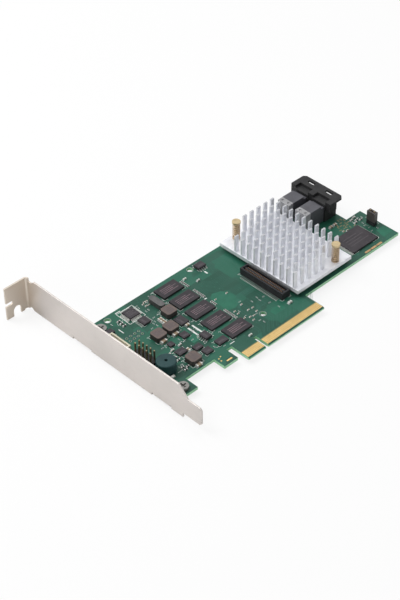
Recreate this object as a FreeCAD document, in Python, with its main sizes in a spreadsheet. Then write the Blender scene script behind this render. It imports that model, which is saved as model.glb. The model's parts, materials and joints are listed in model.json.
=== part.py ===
import FreeCAD, Part
import Sketcher
import math
import os

# A raid controller card on a plain full-height bracket.
# Row frame: X runs along the card from the bracket to the rear edge, Y from the
# edge fingers to the top edge, Z up from the face that carries the components.
# The origin is the middle of the key notch, on the finger edge, on that face.
# In this file x is measured from the outer face of the bracket, and key_x is
# taken off it when a piece is placed.

V = FreeCAD.Vector
doc = FreeCAD.newDocument("raid_card")
sheet = doc.addObject("Spreadsheet::Sheet", "Sizes")
rows = [0]


class Dim:
    """A length: its number, and the same sum as text for setExpression."""

    def __init__(self, value, text):
        self.value = value
        self.text = text

    def __add__(self, other):
        o = dim(other)
        return Dim(self.value + o.value, "(%s + %s)" % (self.text, o.text))

    def __radd__(self, other):
        return dim(other) + self

    def __sub__(self, other):
        o = dim(other)
        return Dim(self.value - o.value, "(%s - %s)" % (self.text, o.text))

    def __rsub__(self, other):
        return dim(other) - self

    def __mul__(self, other):
        o = dim(other)
        return Dim(self.value * o.value, "(%s * %s)" % (self.text, o.text))

    def __rmul__(self, other):
        return dim(other) * self

    def __truediv__(self, other):
        o = dim(other)
        return Dim(self.value / o.value, "(%s / %s)" % (self.text, o.text))

    def __neg__(self):
        return Dim(-self.value, "(0 - %s)" % self.text)


def dim(v):
    if isinstance(v, Dim):
        return v
    return Dim(float(v), "%.6g" % v if v >= 0 else "(0 - %.6g)" % -v)


def size(alias, value):
    """Put one driving size in the sheet and return it as a Dim."""
    rows[0] += 1
    cell = "B%d" % rows[0]
    sheet.set("A%d" % rows[0], alias)
    sheet.set(cell, "%.6g" % value)
    sheet.setAlias(cell, alias)
    return Dim(float(value), "Sizes.%s" % alias)


# ---------------------------------------------------------------- sizes
key_x = size("key_from_bracket", 59.05)
pcb_t = size("board_thickness", 1.57)
pcb_x0 = size("board_left_edge", 2.9)
pcb_x1 = size("board_rear_edge", 157.2)
pcb_x2 = size("board_ext_edge", 167.65)
pcb_y1 = size("board_top_edge", 69.0)
ext_y1 = size("board_ext_top", 38.6)
low_y = size("board_low_edge", 12.6)
foot_y = size("foot_bottom", 3.0)
foot_x1 = size("foot_end", 16.6)
bay_y = size("foot_bay_top", 11.0)
tab_x0 = size("tab_start", 34.8)
tab_x1 = size("tab_end", 43.5)
tab_y = size("tab_bottom", 4.0)
slot_y = size("tab_slot_top", 11.7)
fing_a = size("fingers_before_key", 12.15)
fing_b = size("fingers_after_key", 39.15)
key_w = size("key_width", 1.9)
key_d = size("key_depth", 8.5)
bevel_y = size("edge_bevel_length", 0.9)
bevel_z = size("edge_bevel_height", 0.4)
mount_r = size("module_hole_radius", 1.6)

pad_t = size("finger_thickness", 0.04)
fing_w = size("finger_width", 0.72)
fing_top = size("finger_top", 5.2)
fing_pitch = size("finger_pitch", 1.0)
fing_key = size("finger_from_key", 1.5)

br_t = size("bracket_thickness", 0.86)
br_z1 = size("bracket_front_side", 15.99)
br_z0 = size("bracket_solder_side", 2.43)
br_y1 = size("bracket_fold_height", 103.4)
br_y0 = size("bracket_tongue_end", 16.5)
tong_w = size("tongue_width", 10.16)
tong_c = size("tongue_corner", 1.2)
taper_y0 = size("taper_start_below", 2.0)
taper_y1 = size("taper_end_below", 8.0)
step_y = size("low_step_below", 4.6)
fold_len = size("fold_length", 12.9)
fold_low = size("fold_low_side", 3.06)
fold_r = size("fold_bend_radius", 2.0)
fold_notch_y = size("fold_notch_length", 4.2)
fold_notch_z = size("fold_notch_depth", 1.8)
low_notch_z = size("fold_low_notch_depth", 1.1)
u_x = size("screw_slot_from_face", 6.5)
u_r = size("screw_slot_radius", 2.21)
u_z = size("screw_slot_end", 0.1)
slit_z = size("fold_slit_height", 5.8)
slit_r = size("fold_slit_radius", 1.0)
slit_len = size("fold_slit_length", 4.1)
bend_r = size("ear_bend_radius", 1.3)
ear_len = size("ear_length", 14.6)
ear_w = size("ear_width", 11.2)
ear_gap = size("ear_relief", 0.8)
ear_a = size("upper_ear_start", 57.8)
ear_b = size("lower_ear_start", 3.8)
screw_x = size("bracket_screw_x", 11.4)
screw_dy = size("bracket_screw_in_ear", 5.2)
screw_dyb = size("lower_screw_in_ear", 3.4)
screw_r = size("bracket_screw_radius", 1.5)
screw_head_r = size("bracket_screw_head_radius", 2.8)
screw_head_h = size("bracket_screw_head_height", 1.7)
cross_len = size("screw_cross_length", 3.4)
cross_w = size("screw_cross_width", 0.7)
cross_h = size("screw_cross_depth", 0.9)
screw_gap = size("board_hole_clearance", 0.1)

# board
spare_x = size("spare_header_x", 16.0)
spare_y = size("spare_header_y", 47.6)
pin_pitch = size("header_pitch", 2.54)
pin_hole_r = size("header_hole_radius", 0.52)
clip_in_x = size("sink_pin_from_end", 8.5)
clip_in_y = size("sink_pin_from_side", 3.15)
sink_cx = size("sink_centre_x", 113.5)
sink_cy = size("sink_centre_y", 40.4)
clip_hole_r = size("sink_pin_hole_radius", 1.5)
head_x = size("front_header_x", 10.6)
head_y = size("front_header_y", 27.8)
rear_x = size("rear_header_x", 163.6)
rear_y = size("rear_header_y", 25.9)
cream_x = size("battery_socket_x", 7.1)
cream_y = size("battery_socket_y", 39.6)

# heat sink
chip_w = size("controller_width", 29.0)
chip_t = size("controller_height", 1.9)
tim_w = size("thermal_pad_width", 24.0)
tim_t = size("thermal_pad_thickness", 0.3)
sink_w = size("sink_length", 38.6)
sink_d = size("sink_width", 53.3)
sink_t = size("sink_base_thickness", 2.0)
fin_h = size("fin_height", 9.4)
fin_w = size("fin_size_x", 2.3)
fin_d = size("fin_size_y", 0.9)
fin_px = size("fin_pitch_x", 4.9)
fin_py = size("fin_pitch_y", 4.4)
fin_x = size("fin_first_x", 1.35)
fin_y = size("fin_first_y", 3.3)
free_ax = size("upper_free_corner_x", 14.0)
free_ay = size("upper_free_corner_y", 8.2)
free_bx = size("lower_free_corner_x", 15.0)
free_by = size("lower_free_corner_y", 5.5)
stem_r = size("sink_pin_radius", 1.2)
cap_r = size("sink_pin_cap_radius", 2.2)
cap_h = size("sink_pin_cap_height", 1.0)
pin_z = size("sink_pin_top", 14.8)
barb_h = size("sink_pin_barb", 1.9)
barb_over = size("sink_pin_barb_over_hole", 0.35)
wire_r = size("spring_wire_radius", 0.25)
coil_r = size("spring_radius", 1.7)

# module socket
sock_gap = size("socket_from_sink", 1.4)
sock_y = size("socket_y", 17.6)
sock_w = size("socket_width", 5.4)
sock_x = sink_cx - sink_w / 2 - sock_gap - sock_w
sock_d = size("socket_length", 28.5)
sock_z = size("socket_standoff", 0.25)
sock_h = size("socket_top", 4.0)
sock_wall = size("socket_wall", 0.9)
sock_floor = size("socket_floor_top", 1.2)
tongue_w = size("socket_tongue_width", 1.2)
tongue_h = size("socket_tongue_top", 3.5)
blade_t = size("socket_contact_thickness", 0.15)
blade_w = size("socket_contact_width", 0.4)
blade_h = size("socket_contact_top", 3.3)
tail_x = size("socket_tail_reach", 1.9)
tail_t = size("socket_tail_thickness", 0.2)
sock_pitch = size("socket_pitch", 1.0)

# drive connectors
clip_w = size("sas_clip_width", 3.5)
sas_gap = size("sas_from_sink", 1.6)
sas_start = sink_cx + sink_w / 2 + sas_gap + clip_w
sas_x = sas_start + size("sas_port_x", 9.8)
sas_w = size("sas_port_depth", 8.6)
sas_half = size("sas_port_half_width", 4.65)
sas_h = size("sas_port_height", 10.6)
sas_y0 = size("sas_first_port_y", 49.8)
sas_pitch = size("sas_port_pitch", 12.0)
wing_x0 = sas_start + size("sas_wing_x", 10.2)
wing_x1 = sas_start + size("sas_wing_end", 15.2)
wing_y0 = size("sas_wing_low", 42.2)
wing_y1 = size("sas_wing_high", 69.1)
wing_z0 = size("sas_wing_bottom", 7.0)
wing_z1 = size("sas_wing_top", 12.2)
roof_x = sas_start + size("sas_roof_end", 20.3)
roof_t = size("sas_roof_thickness", 1.2)
rec_x = sas_start + size("sas_recess_end", 13.9)
win_x0 = sas_start + size("sas_window_x", 16.8)
win_w = size("sas_window_length", 1.7)
win_d = size("sas_window_width", 4.4)
roof_c = size("sas_roof_corner", 1.5)
rec_half = size("sas_recess_half", 4.3)
mouth_half = size("sas_mouth_half", 3.9)
mouth_z0 = size("sas_mouth_bottom", 1.3)
mouth_z1 = size("sas_mouth_top", 9.6)
mouth_x = sas_start + size("sas_mouth_back", 11.1)
core_half = size("sas_core_half", 3.6)
core_z0 = size("sas_core_bottom", 3.0)
core_z1 = size("sas_core_top", 8.2)
core_x = sas_start + size("sas_core_end", 14.0)
cell_h = size("sas_slot_height", 1.1)
cell_half = size("sas_slot_half", 3.2)
cell_z0 = size("sas_slot_low", 4.0)
cell_z1 = size("sas_slot_high", 6.6)
cell_gap = size("sas_slot_depth_left", 0.4)
blip_len = size("sas_contact_length", 2.2)
blip_w = size("sas_contact_width", 0.35)
blip_t = size("sas_contact_thickness", 0.15)
blip_pitch = size("sas_contact_pitch", 0.9)
wafer_step = sas_start + size("sas_wafer_step_x", 7.7)
wafer_z = size("sas_wafer_bottom", 0.25)
wafer_h = size("sas_wafer_top", 10.5)
wafer_low = size("sas_wafer_groove_top", 9.0)
wafer_t = size("sas_wafer_thickness", 0.9)
wafer_in = size("sas_wafer_groove_depth", 0.35)
wafer_pitch = size("sas_wafer_pitch", 0.97)
clip_half = size("sas_clip_half", 3.8)
clip_rec_r = size("sas_clip_recess_radius", 0.7)

# packages
dram_w = size("dram_length", 13.3)
dram_d = size("dram_width", 7.9)
dram_h = size("dram_height", 1.1)
lead_t = size("lead_thickness", 0.15)
power_h = size("power_chip_height", 1.0)
diode_h = size("diode_height", 2.3)
qfp_x = size("qfp_x", 29.0)
qfp_y = size("qfp_y", 61.4)
qfp_w = size("qfp_width", 6.3)
qfp_over = size("qfp_over_leads", 8.8)
qfp_h = size("qfp_height", 1.4)
fine_pitch = size("fine_pitch", 0.5)
fine_w = size("fine_lead_width", 0.22)
lift = size("package_standoff", 0.1)
sop_x = size("tssop_x", 30.0)
sop_y = size("tssop_y", 53.2)
sop_w = size("tssop_width", 4.4)
sop_d = size("tssop_length", 5.0)
sop_over = size("tssop_over_leads", 6.4)
sop_h = size("tssop_height", 1.1)
sop_pitch = size("tssop_pitch", 0.65)
flash_x = size("flash_x", 147.7)
flash_y = size("flash_y", 24.0)
flash_w = size("flash_length", 18.4)
flash_d = size("flash_width", 14.0)
flash_over = size("flash_over_leads", 20.0)
flash_h = size("flash_height", 1.1)
so_w = size("so8_width", 3.9)
so_l = size("so8_length", 5.0)
so_h = size("so8_height", 1.6)
so_over = size("so8_over_leads", 6.0)
so_pitch = size("so8_pitch", 1.27)
so_lead = size("so8_lead_width", 0.42)
can_x = size("oscillator_x", 42.6)
can_y = size("oscillator_y", 57.8)
can_w = size("oscillator_width", 3.6)
can_d = size("oscillator_length", 9.8)
can_h = size("oscillator_height", 3.0)
can_r = size("oscillator_corner", 1.7)
coil_w = size("inductor_width", 6.5)
coil_h = size("inductor_height", 3.0)
coil_c = size("inductor_corner", 0.9)

# headers
post_w = size("header_pin_width", 0.64)
post_top = size("header_pin_top", 8.5)
post_tail = size("header_pin_tail", 0.8)
ins_h = size("header_insulator_height", 2.54)
cap_top = size("jumper_top", 8.0)
cap_slot = size("jumper_slot_width", 0.9)
cap_slot_l = size("jumper_slot_length", 3.6)
cream_w = size("battery_socket_width", 5.0)
cream_d = size("battery_socket_length", 13.0)
cream_h = size("battery_socket_height", 6.4)
cream_wall = size("battery_socket_wall", 0.8)
cream_floor = size("battery_socket_floor", 2.2)
cream_pin = size("battery_socket_pin_top", 5.6)
cream_first = size("battery_socket_first_pin", 1.6)

# buzzer
buz_x = size("buzzer_x", 14.4)
buz_y = size("buzzer_y", 21.4)
buz_r = size("buzzer_radius", 4.9)
buz_h = size("buzzer_height", 6.0)
buz_c = size("buzzer_chamfer", 0.4)
buz_hole = size("buzzer_hole_radius", 0.8)

# length, width and height of each case
case = {}
for tag, l, w, h in (("1206", 3.2, 1.6, 1.3), ("0805", 2.0, 1.25, 0.9), ("0603", 1.6, 0.8, 0.7),
                     ("0402", 1.0, 0.5, 0.4)):
    case[tag] = (size("case_%s_length" % tag, l), size("case_%s_width" % tag, w),
                 size("case_%s_height" % tag, h))


def bx(v):
    """x from the bracket face, moved into the row frame."""
    return dim(v) - key_x


# ---------------------------------------------------------------- helpers
def origin_plane(body, role):
    found = [f for f in body.Origin.OriginFeatures if f.Role == role]
    return found[0]


def new_body(name):
    body = doc.addObject("PartDesign::Body", name)
    body.Label = name
    return body


def new_sketch(body, name, role, offset=None):
    sk = body.newObject("Sketcher::SketchObject", name)
    sk.AttachmentSupport = [(origin_plane(body, role), "")]
    sk.MapMode = "FlatFace"
    if offset is not None:
        off = dim(offset)
        sk.AttachmentOffset = FreeCAD.Placement(V(0, 0, off.value), FreeCAD.Rotation())
        sk.setExpression("AttachmentOffset.Base.z", off.text)
    return sk


def pin_point(sk, geo, end, p):
    for kind, part in (("DistanceX", p[0]), ("DistanceY", p[1])):
        c = sk.addConstraint(Sketcher.Constraint(kind, -1, 1, geo, end, part.value))
        sk.setExpression("Constraints[%d]" % c, part.text)


def outline(sk, points):
    """Closed polygon through points given as pairs of lengths."""
    pts = [(dim(p[0]), dim(p[1])) for p in points]
    n = len(pts)
    first = sk.GeometryCount
    for i in range(n):
        a = pts[i]
        b = pts[(i + 1) % n]
        line = Part.LineSegment(V(a[0].value, a[1].value, 0), V(b[0].value, b[1].value, 0))
        sk.addGeometry(line)
    for i in range(n):
        nxt = first + (i + 1) % n
        sk.addConstraint(Sketcher.Constraint("Coincident", first + i, 2, nxt, 1))
    for i in range(n):
        pin_point(sk, first + i, 1, pts[i])


def rect(sk, x, y, w, h):
    x = dim(x)
    y = dim(y)
    outline(sk, [(x, y), (x + w, y), (x + w, y + h), (x, y + h)])


def rounded(sk, corners):
    """Closed outline of axis-aligned edges; a corner is (x, y, radius or None)."""
    cs = [(dim(c[0]), dim(c[1]), None if c[2] is None else dim(c[2])) for c in corners]
    n = len(cs)
    parts = []
    for i in range(n):
        p = cs[i - 1]
        c = cs[i]
        q = cs[(i + 1) % n]
        if c[2] is None:
            parts.append([(c[0], c[1])])
            continue
        ends = []
        for o in (p, q):
            dx = o[0].value - c[0].value
            dy = o[1].value - c[1].value
            if abs(dx) > abs(dy):
                ends.append((c[0] + c[2] * math.copysign(1, dx), c[1]))
            else:
                ends.append((c[0], c[1] + c[2] * math.copysign(1, dy)))
        parts.append([ends[0], ends[1], c])
    for i in range(n):
        here = parts[i]
        nxt = parts[(i + 1) % n]
        if len(here) == 3:
            a, b, c = here
            cx = a[0].value + b[0].value - c[0].value
            cy = a[1].value + b[1].value - c[1].value
            t0 = math.atan2(a[1].value - cy, a[0].value - cx)
            t1 = math.atan2(b[1].value - cy, b[0].value - cx)
            turn = (t1 - t0 + math.pi) % (2 * math.pi) - math.pi
            if turn < 0:
                t0, t1 = t1, t0
            circle = Part.Circle(V(cx, cy, 0), V(0, 0, 1), c[2].value)
            arc = Part.ArcOfCircle(circle, t0, t1)
            g = sk.addGeometry(arc)
            s, e = (1, 2) if turn > 0 else (2, 1)
            pin_point(sk, g, s, a)
            pin_point(sk, g, e, b)
            k = sk.addConstraint(Sketcher.Constraint("Radius", g, c[2].value))
            sk.setExpression("Constraints[%d]" % k, c[2].text)
        start = here[1] if len(here) == 3 else here[0]
        end = nxt[0]
        line = Part.LineSegment(V(start[0].value, start[1].value, 0),
                                V(end[0].value, end[1].value, 0))
        g = sk.addGeometry(line)
        pin_point(sk, g, 1, start)
        pin_point(sk, g, 2, end)


def circle(sk, x, y, r):
    x = dim(x)
    y = dim(y)
    r = dim(r)
    g = sk.addGeometry(Part.Circle(V(x.value, y.value, 0), V(0, 0, 1), r.value))
    pin_point(sk, g, 3, (x, y))
    c = sk.addConstraint(Sketcher.Constraint("Radius", g, r.value))
    sk.setExpression("Constraints[%d]" % c, r.text)


def pad(body, name, sk, length, reverse=False):
    f = body.newObject("PartDesign::Pad", name)
    f.Profile = sk
    length = dim(length)
    f.Length = length.value
    f.setExpression("Length", length.text)
    f.Reversed = reverse
    body.Tip = f
    doc.recompute()
    return f


def pocket(body, name, sk, length, reverse=False):
    before = body.Shape.Volume
    f = body.newObject("PartDesign::Pocket", name)
    f.Profile = sk
    length = dim(length)
    f.Length = length.value
    f.setExpression("Length", length.text)
    f.Reversed = reverse
    body.Tip = f
    doc.recompute()
    if not body.Shape.Volume < before - 1e-6:
        raise RuntimeError("pocket %s cut nothing" % name)
    return f


def pattern(body, name, feats, sk, axis, span, count, reverse=False):
    f = body.newObject("PartDesign::LinearPattern", name)
    f.Originals = feats
    f.Direction = (sk, [axis])
    span = dim(span)
    f.Length = span.value
    f.setExpression("Length", span.text)
    f.Occurrences = count
    f.Reversed = reverse
    body.Tip = f
    doc.recompute()
    return f


def bind(obj, prop, value):
    value = dim(value)
    obj.setExpression(prop, value.text)


def block(name, x, y, z, w, d, h):
    """A box from its low corner and its three lengths."""
    b = doc.addObject("Part::Box", name)
    bind(b, "Length", w)
    bind(b, "Width", d)
    bind(b, "Height", h)
    bind(b, "Placement.Base.x", x)
    bind(b, "Placement.Base.y", y)
    bind(b, "Placement.Base.z", z)
    return b


def centred(name, x, y, z, w, d, h):
    """A box centred on x, y and standing on z."""
    w = dim(w)
    d = dim(d)
    return block(name, dim(x) - w / 2, dim(y) - d / 2, z, w, d, h)


def rod(name, x, y, z, r, h):
    c = doc.addObject("Part::Cylinder", name)
    bind(c, "Radius", r)
    bind(c, "Height", h)
    bind(c, "Placement.Base.x", x)
    bind(c, "Placement.Base.y", y)
    bind(c, "Placement.Base.z", z)
    return c


def prism(name, x, y, z, sides, r, h):
    c = doc.addObject("Part::Prism", name)
    c.Polygon = sides
    bind(c, "Circumradius", r)
    bind(c, "Height", h)
    bind(c, "Placement.Base.x", x)
    bind(c, "Placement.Base.y", y)
    bind(c, "Placement.Base.z", z)
    return c


def taper(name, x, y, z, sides, r0, r1, h):
    """A many-sided cone frustum, r0 at its foot and r1 at its top."""
    ends = []
    for k, (r, up) in enumerate(((r0, dim(0)), (r1, dim(h)))):
        p = doc.addObject("Part::RegularPolygon", "%s_%d" % (name, k))
        p.Polygon = sides
        bind(p, "Circumradius", r)
        bind(p, "Placement.Base.x", x)
        bind(p, "Placement.Base.y", y)
        bind(p, "Placement.Base.z", z + up)
        ends.append(p)
    f = doc.addObject("Part::Loft", name)
    f.Sections = ends
    f.Solid = True
    f.Ruled = True
    return f


def joined(name, objs):
    f = doc.addObject("Part::MultiFuse", name)
    f.Shapes = objs
    return f


def less(name, base, tool):
    f = doc.addObject("Part::Cut", name)
    f.Base = base
    f.Tool = tool
    return f


def group(name, objs):
    g = doc.addObject("Part::Compound", name)
    g.Label = name
    g.Links = objs
    return g


nodes = []


def node(name, obj):
    obj.Label = name
    nodes.append((name, obj))


# ---------------------------------------------------------------- board
# Places of the holes, from the bracket face and the finger edge.
module_holes = [(18.2, 66.0), (72.4, 66.0), (73.9, 17.5)]
cream_n = 5
head_n = 5

screws = [(screw_x, ear_a + screw_dy), (screw_x, ear_b + screw_dyb)]
clip_x = sink_w / 2 - clip_in_x
clip_y = sink_d / 2 - clip_in_y
sink_pins = [(sink_cx - clip_x, sink_cy + clip_y), (sink_cx + clip_x, sink_cy - clip_y)]
head_pins = []
for i in range(2):
    for j in range(head_n):
        head_pins.append((head_x + pin_pitch * i, head_y + pin_pitch * j))
cream_pins = []
for j in range(cream_n):
    cream_pins.append((cream_x, cream_y + cream_first + pin_pitch * j))
rear_pins = [(rear_x, rear_y), (rear_x, rear_y + pin_pitch)]

board = new_body("board")
sk = new_sketch(board, "board_outline", "XY_Plane", -pcb_t)
outline(sk, [
    (bx(pcb_x0), foot_y), (bx(foot_x1), foot_y), (bx(foot_x1), bay_y),
    (bx(tab_x0), bay_y), (bx(tab_x0), tab_y), (bx(tab_x1), tab_y),
    (bx(tab_x1), slot_y), (-fing_a, slot_y), (-fing_a, 0),
    (-key_w / 2, 0), (-key_w / 2, key_d), (key_w / 2, key_d), (key_w / 2, 0),
    (fing_b, 0), (fing_b, low_y), (bx(pcb_x2), low_y), (bx(pcb_x2), ext_y1),
    (bx(pcb_x1), ext_y1), (bx(pcb_x1), pcb_y1), (bx(pcb_x0), pcb_y1)])
pad(board, "board_pad", sk, pcb_t)
sk = new_sketch(board, "board_holes", "XY_Plane")
for x, y in module_holes:
    circle(sk, bx(x), y, mount_r)
for x, y in screws:
    circle(sk, bx(x), y, screw_r + screw_gap)
for x, y in sink_pins:
    circle(sk, bx(x), y, clip_hole_r)
pocket(board, "board_drill", sk, pcb_t)
# the edge that goes into the slot is bevelled on both faces
sk = new_sketch(board, "bevel_top", "YZ_Plane", -fing_a - 1)
outline(sk, [(-0.5, 0.5), (bevel_y, 0.5), (bevel_y, 0), (0, -bevel_z), (-0.5, -bevel_z)])
pocket(board, "bevel_top_cut", sk, fing_a + fing_b + 2, True)
sk = new_sketch(board, "bevel_low", "YZ_Plane", -fing_a - 1)
outline(sk, [(-0.5, -pcb_t - 0.5), (bevel_y, -pcb_t - 0.5), (bevel_y, -pcb_t),
             (0, -pcb_t + bevel_z), (-0.5, -pcb_t + bevel_z)])
pocket(board, "bevel_low_cut", sk, fing_a + fing_b + 2, True)
# small holes of the headers, fitted and not fitted
small_holes = head_pins + cream_pins + rear_pins
for i in range(4):
    for j in range(2):
        small_holes.append((spare_x + pin_pitch * i, spare_y + pin_pitch * j))
drills = []
for i, (x, y) in enumerate(small_holes):
    drills.append(prism("pin_hole_%d" % i, bx(x), y, -pcb_t - 1, 8, pin_hole_r, pcb_t + 2))
node("pcb", less("pcb", board, group("pin_holes", drills)))

# gold contacts, eleven before the key and thirty-eight after it, on both faces
gold = new_body("gold_fingers")
runs = [("low", -fing_key - 10 * fing_pitch, 11), ("high", fing_key, 38)]
for tag, start, count in runs:
    made = []
    for face, z0 in (("front", dim(0)), ("back", -pcb_t - pad_t)):
        sk = new_sketch(gold, "finger_%s_%s" % (tag, face), "XY_Plane", z0)
        rect(sk, start - fing_w / 2, bevel_y, fing_w, fing_top - bevel_y)
        made.append(pad(gold, "finger_%s_%s_pad" % (tag, face), sk, pad_t))
    pattern(gold, "fingers_%s" % tag, made, sk, "H_Axis", fing_pitch * (count - 1), count)
node("gold_fingers", gold)

# ---------------------------------------------------------------- bracket
bracket = new_body("bracket")
sk = new_sketch(bracket, "bracket_profile", "XY_Plane", -br_z0)
rounded(sk, [
    (bx(br_t), -br_y0, None), (bx(br_t), br_y1, fold_r), (bx(-fold_len), br_y1, None),
    (bx(-fold_len), br_y1 - br_t, None), (bx(0), br_y1 - br_t, fold_r - br_t),
    (bx(0), -br_y0, None)])
pad(bracket, "bracket_sheet", sk, br_z0 + br_z1)
# the folded tab is a little wider than the face
sk = new_sketch(bracket, "fold_edge", "XZ_Plane", -br_y1)
rect(sk, bx(-fold_len), -fold_low, fold_len - fold_r, fold_low)
pad(bracket, "fold_edge_pad", sk, br_t)
# both long edges of the face are cut: tongue, taper, ear reliefs and fold reliefs
sk = new_sketch(bracket, "face_cuts", "YZ_Plane", bx(-1))
outline(sk, [(-taper_y0, br_z1), (-taper_y1, tong_w), (-br_y0 + tong_c, tong_w),
             (-br_y0, tong_w - tong_c), (-br_y0 - 1, tong_w - tong_c), (-br_y0 - 1, br_z1 + 1),
             (-taper_y0, br_z1 + 1)])
outline(sk, [(-step_y, -br_z0 - 1), (-step_y, 0), (-br_y0 + tong_c, 0), (-br_y0, tong_c),
             (-br_y0 - 1, tong_c), (-br_y0 - 1, -br_z0 - 1)])
for y0 in (ear_a, ear_b):
    rect(sk, y0 - ear_gap, -br_z0 - 1, ear_w + ear_gap * 2, bend_r + 1.3)
notch_y = br_y1 - fold_r - fold_notch_y
outline(sk, [(notch_y, br_z1 + 1), (notch_y, br_z1), (notch_y + fold_notch_z, br_z1 - fold_notch_z),
             (br_y1 - fold_r, br_z1 - fold_notch_z), (br_y1 - fold_r, br_z1 + 1)])
outline(sk, [(notch_y + 1, -br_z0 - 1), (notch_y + 1, -br_z0),
             (notch_y + 1 + low_notch_z, -br_z0 + low_notch_z),
             (br_y1 - fold_r, -br_z0 + low_notch_z), (br_y1 - fold_r, -br_z0 - 1)])
pocket(bracket, "face_cut", sk, br_t + 2, True)
# screw slot and slit of the folded tab, each a straight cut with a round end
fold_cuts = [
    ("slot_run", [-u_x - u_r, -fold_low - 1, u_r * 2, u_z + fold_low + 1], None),
    ("slot_end", None, [-u_x, u_z, u_r]),
    ("slit_run", [-fold_len - 1, slit_z - slit_r, slit_len + 1 - slit_r, slit_r * 2], None),
    ("slit_end", None, [-fold_len + slit_len - slit_r, slit_z, slit_r])]
for tag, r, c in fold_cuts:
    sk = new_sketch(bracket, "fold_" + tag, "XZ_Plane", -br_y1 - 1)
    if r is not None:
        rect(sk, bx(r[0]), r[1], r[2], r[3])
    if c is not None:
        circle(sk, bx(c[0]), c[1], c[2])
    pocket(bracket, "fold_%s_cut" % tag, sk, br_t + 2, True)
# ears bent under the board, each with a tapped hole
for tag, y0 in (("upper", ear_a), ("lower", ear_b)):
    sk = new_sketch(bracket, "ear_" + tag, "XZ_Plane", -y0 - ear_w)
    rounded(sk, [
        (bx(0), -br_z0 + bend_r + 1, None), (bx(0), -br_z0, bend_r), (bx(ear_len), -br_z0, None),
        (bx(ear_len), -br_z0 + br_t, None), (bx(br_t), -br_z0 + br_t, bend_r - br_t),
        (bx(br_t), -br_z0 + bend_r + 1, None)])
    pad(bracket, "ear_%s_pad" % tag, sk, ear_w)
sk = new_sketch(bracket, "ear_holes", "XY_Plane", -br_z0 - 1)
for x, y in screws:
    circle(sk, bx(x), y, screw_r)
pocket(bracket, "ear_hole_cut", sk, br_t + 2, True)
node("bracket", bracket)

# pan-head screws from the component side into the ears
made = []
for i, (x, y) in enumerate(screws):
    shank = prism("screw_shank_%d" % i, bx(x), y, -br_z0 - 0.6, 16, screw_r, br_z0 + 0.6)
    head = prism("screw_head_%d" % i, bx(x), y, 0, 24, screw_head_r, screw_head_h)
    both = joined("screw_%d" % i, [shank, head])
    cuts = []
    for k in range(2):
        w, d = (cross_len, cross_w) if k == 0 else (cross_w, cross_len)
        z = screw_head_h - cross_h
        cuts.append(centred("screw_cross_%d_%d" % (i, k), bx(x), y, z, w, d, cross_h + 1))
    made.append(less("screw_cut_%d" % i, both, joined("screw_cross_%d" % i, cuts)))
node("bracket_screws", group("bracket_screws", made))

# ---------------------------------------------------------------- heat sink
turn_n = 7

sink_z = chip_t + tim_t
node("controller", centred("controller", bx(sink_cx), sink_cy, 0, chip_w, chip_w, chip_t))
pad_box = centred("thermal_pad", bx(sink_cx), sink_cy, chip_t, tim_w, tim_w, tim_t)
node("thermal_pad", pad_box)

# the fins are what crossing grooves leave of one extruded block
sink = new_body("heatsink")
sx0 = bx(sink_cx - sink_w / 2)
sy0 = sink_cy - sink_d / 2
sk = new_sketch(sink, "sink_block", "XY_Plane", sink_z)
rect(sk, sx0, sy0, sink_w, sink_d)
pad(sink, "sink_block_pad", sk, sink_t + fin_h)


def grooves(name, length, first, pitch, fin, along_x):
    """Cut the gaps between fins along one direction, and both margins."""
    sk = new_sketch(sink, name, "XY_Plane", sink_z + sink_t)
    count = int((length.value - first.value - fin.value / 2) / pitch.value + 1e-6) + 1
    starts = [dim(-1)] + [first + pitch * k + fin / 2 for k in range(count)]
    ends = [first + pitch * k - fin / 2 for k in range(count)] + [length + 1]
    for a, b in zip(starts, ends):
        if along_x:
            rect(sk, sx0 + a, sy0 - 1, b - a, sink_d + 2)
        else:
            rect(sk, sx0 - 1, sy0 + a, sink_w + 2, b - a)
    pocket(sink, name + "_cut", sk, fin_h + 1, True)


grooves("grooves_across", sink_w, fin_x, fin_px, fin_w, True)
grooves("grooves_along", sink_d, fin_y, fin_py, fin_d, False)
# two corners are left free for the push pins
sk = new_sketch(sink, "free_corners", "XY_Plane", sink_z + sink_t)
rect(sk, sx0 - 1, sy0 + sink_d - free_ay, free_ax + 1, free_ay + 1)
rect(sk, sx0 + sink_w - free_bx, sy0 - 1, free_bx + 1, free_by + 1)
pocket(sink, "free_corner_cut", sk, fin_h + 1, True)
sk = new_sketch(sink, "sink_holes", "XY_Plane", sink_z)
for x, y in sink_pins:
    circle(sk, bx(x), y, clip_hole_r)
pocket(sink, "sink_hole_cut", sk, sink_t, True)
node("heatsink", sink)

# brass push pins through heat sink and board, each with its spring


def coil_shape():
    """Five-sided wire swept along a helix of short straight runs."""
    rise = (pin_z - cap_h - sink_z - sink_t - wire_r * 2).value
    steps = turn_n * 6
    path = []
    for k in range(steps + 1):
        a = math.radians(60) * k
        path.append(V(coil_r.value * math.cos(a), coil_r.value * math.sin(a), rise * k / steps))
    ahead = (path[1] - path[0]).normalize()
    side = ahead.cross(V(0, 0, 1)).normalize()
    up = side.cross(ahead)
    ring = []
    for k in range(6):
        a = math.radians(72) * k
        ring.append(path[0] + side * wire_r.value * math.cos(a) + up * wire_r.value * math.sin(a))
    spine = Part.makePolygon(path)
    return spine.makePipeShell([Part.makePolygon(ring)], True, False, 1)


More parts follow.
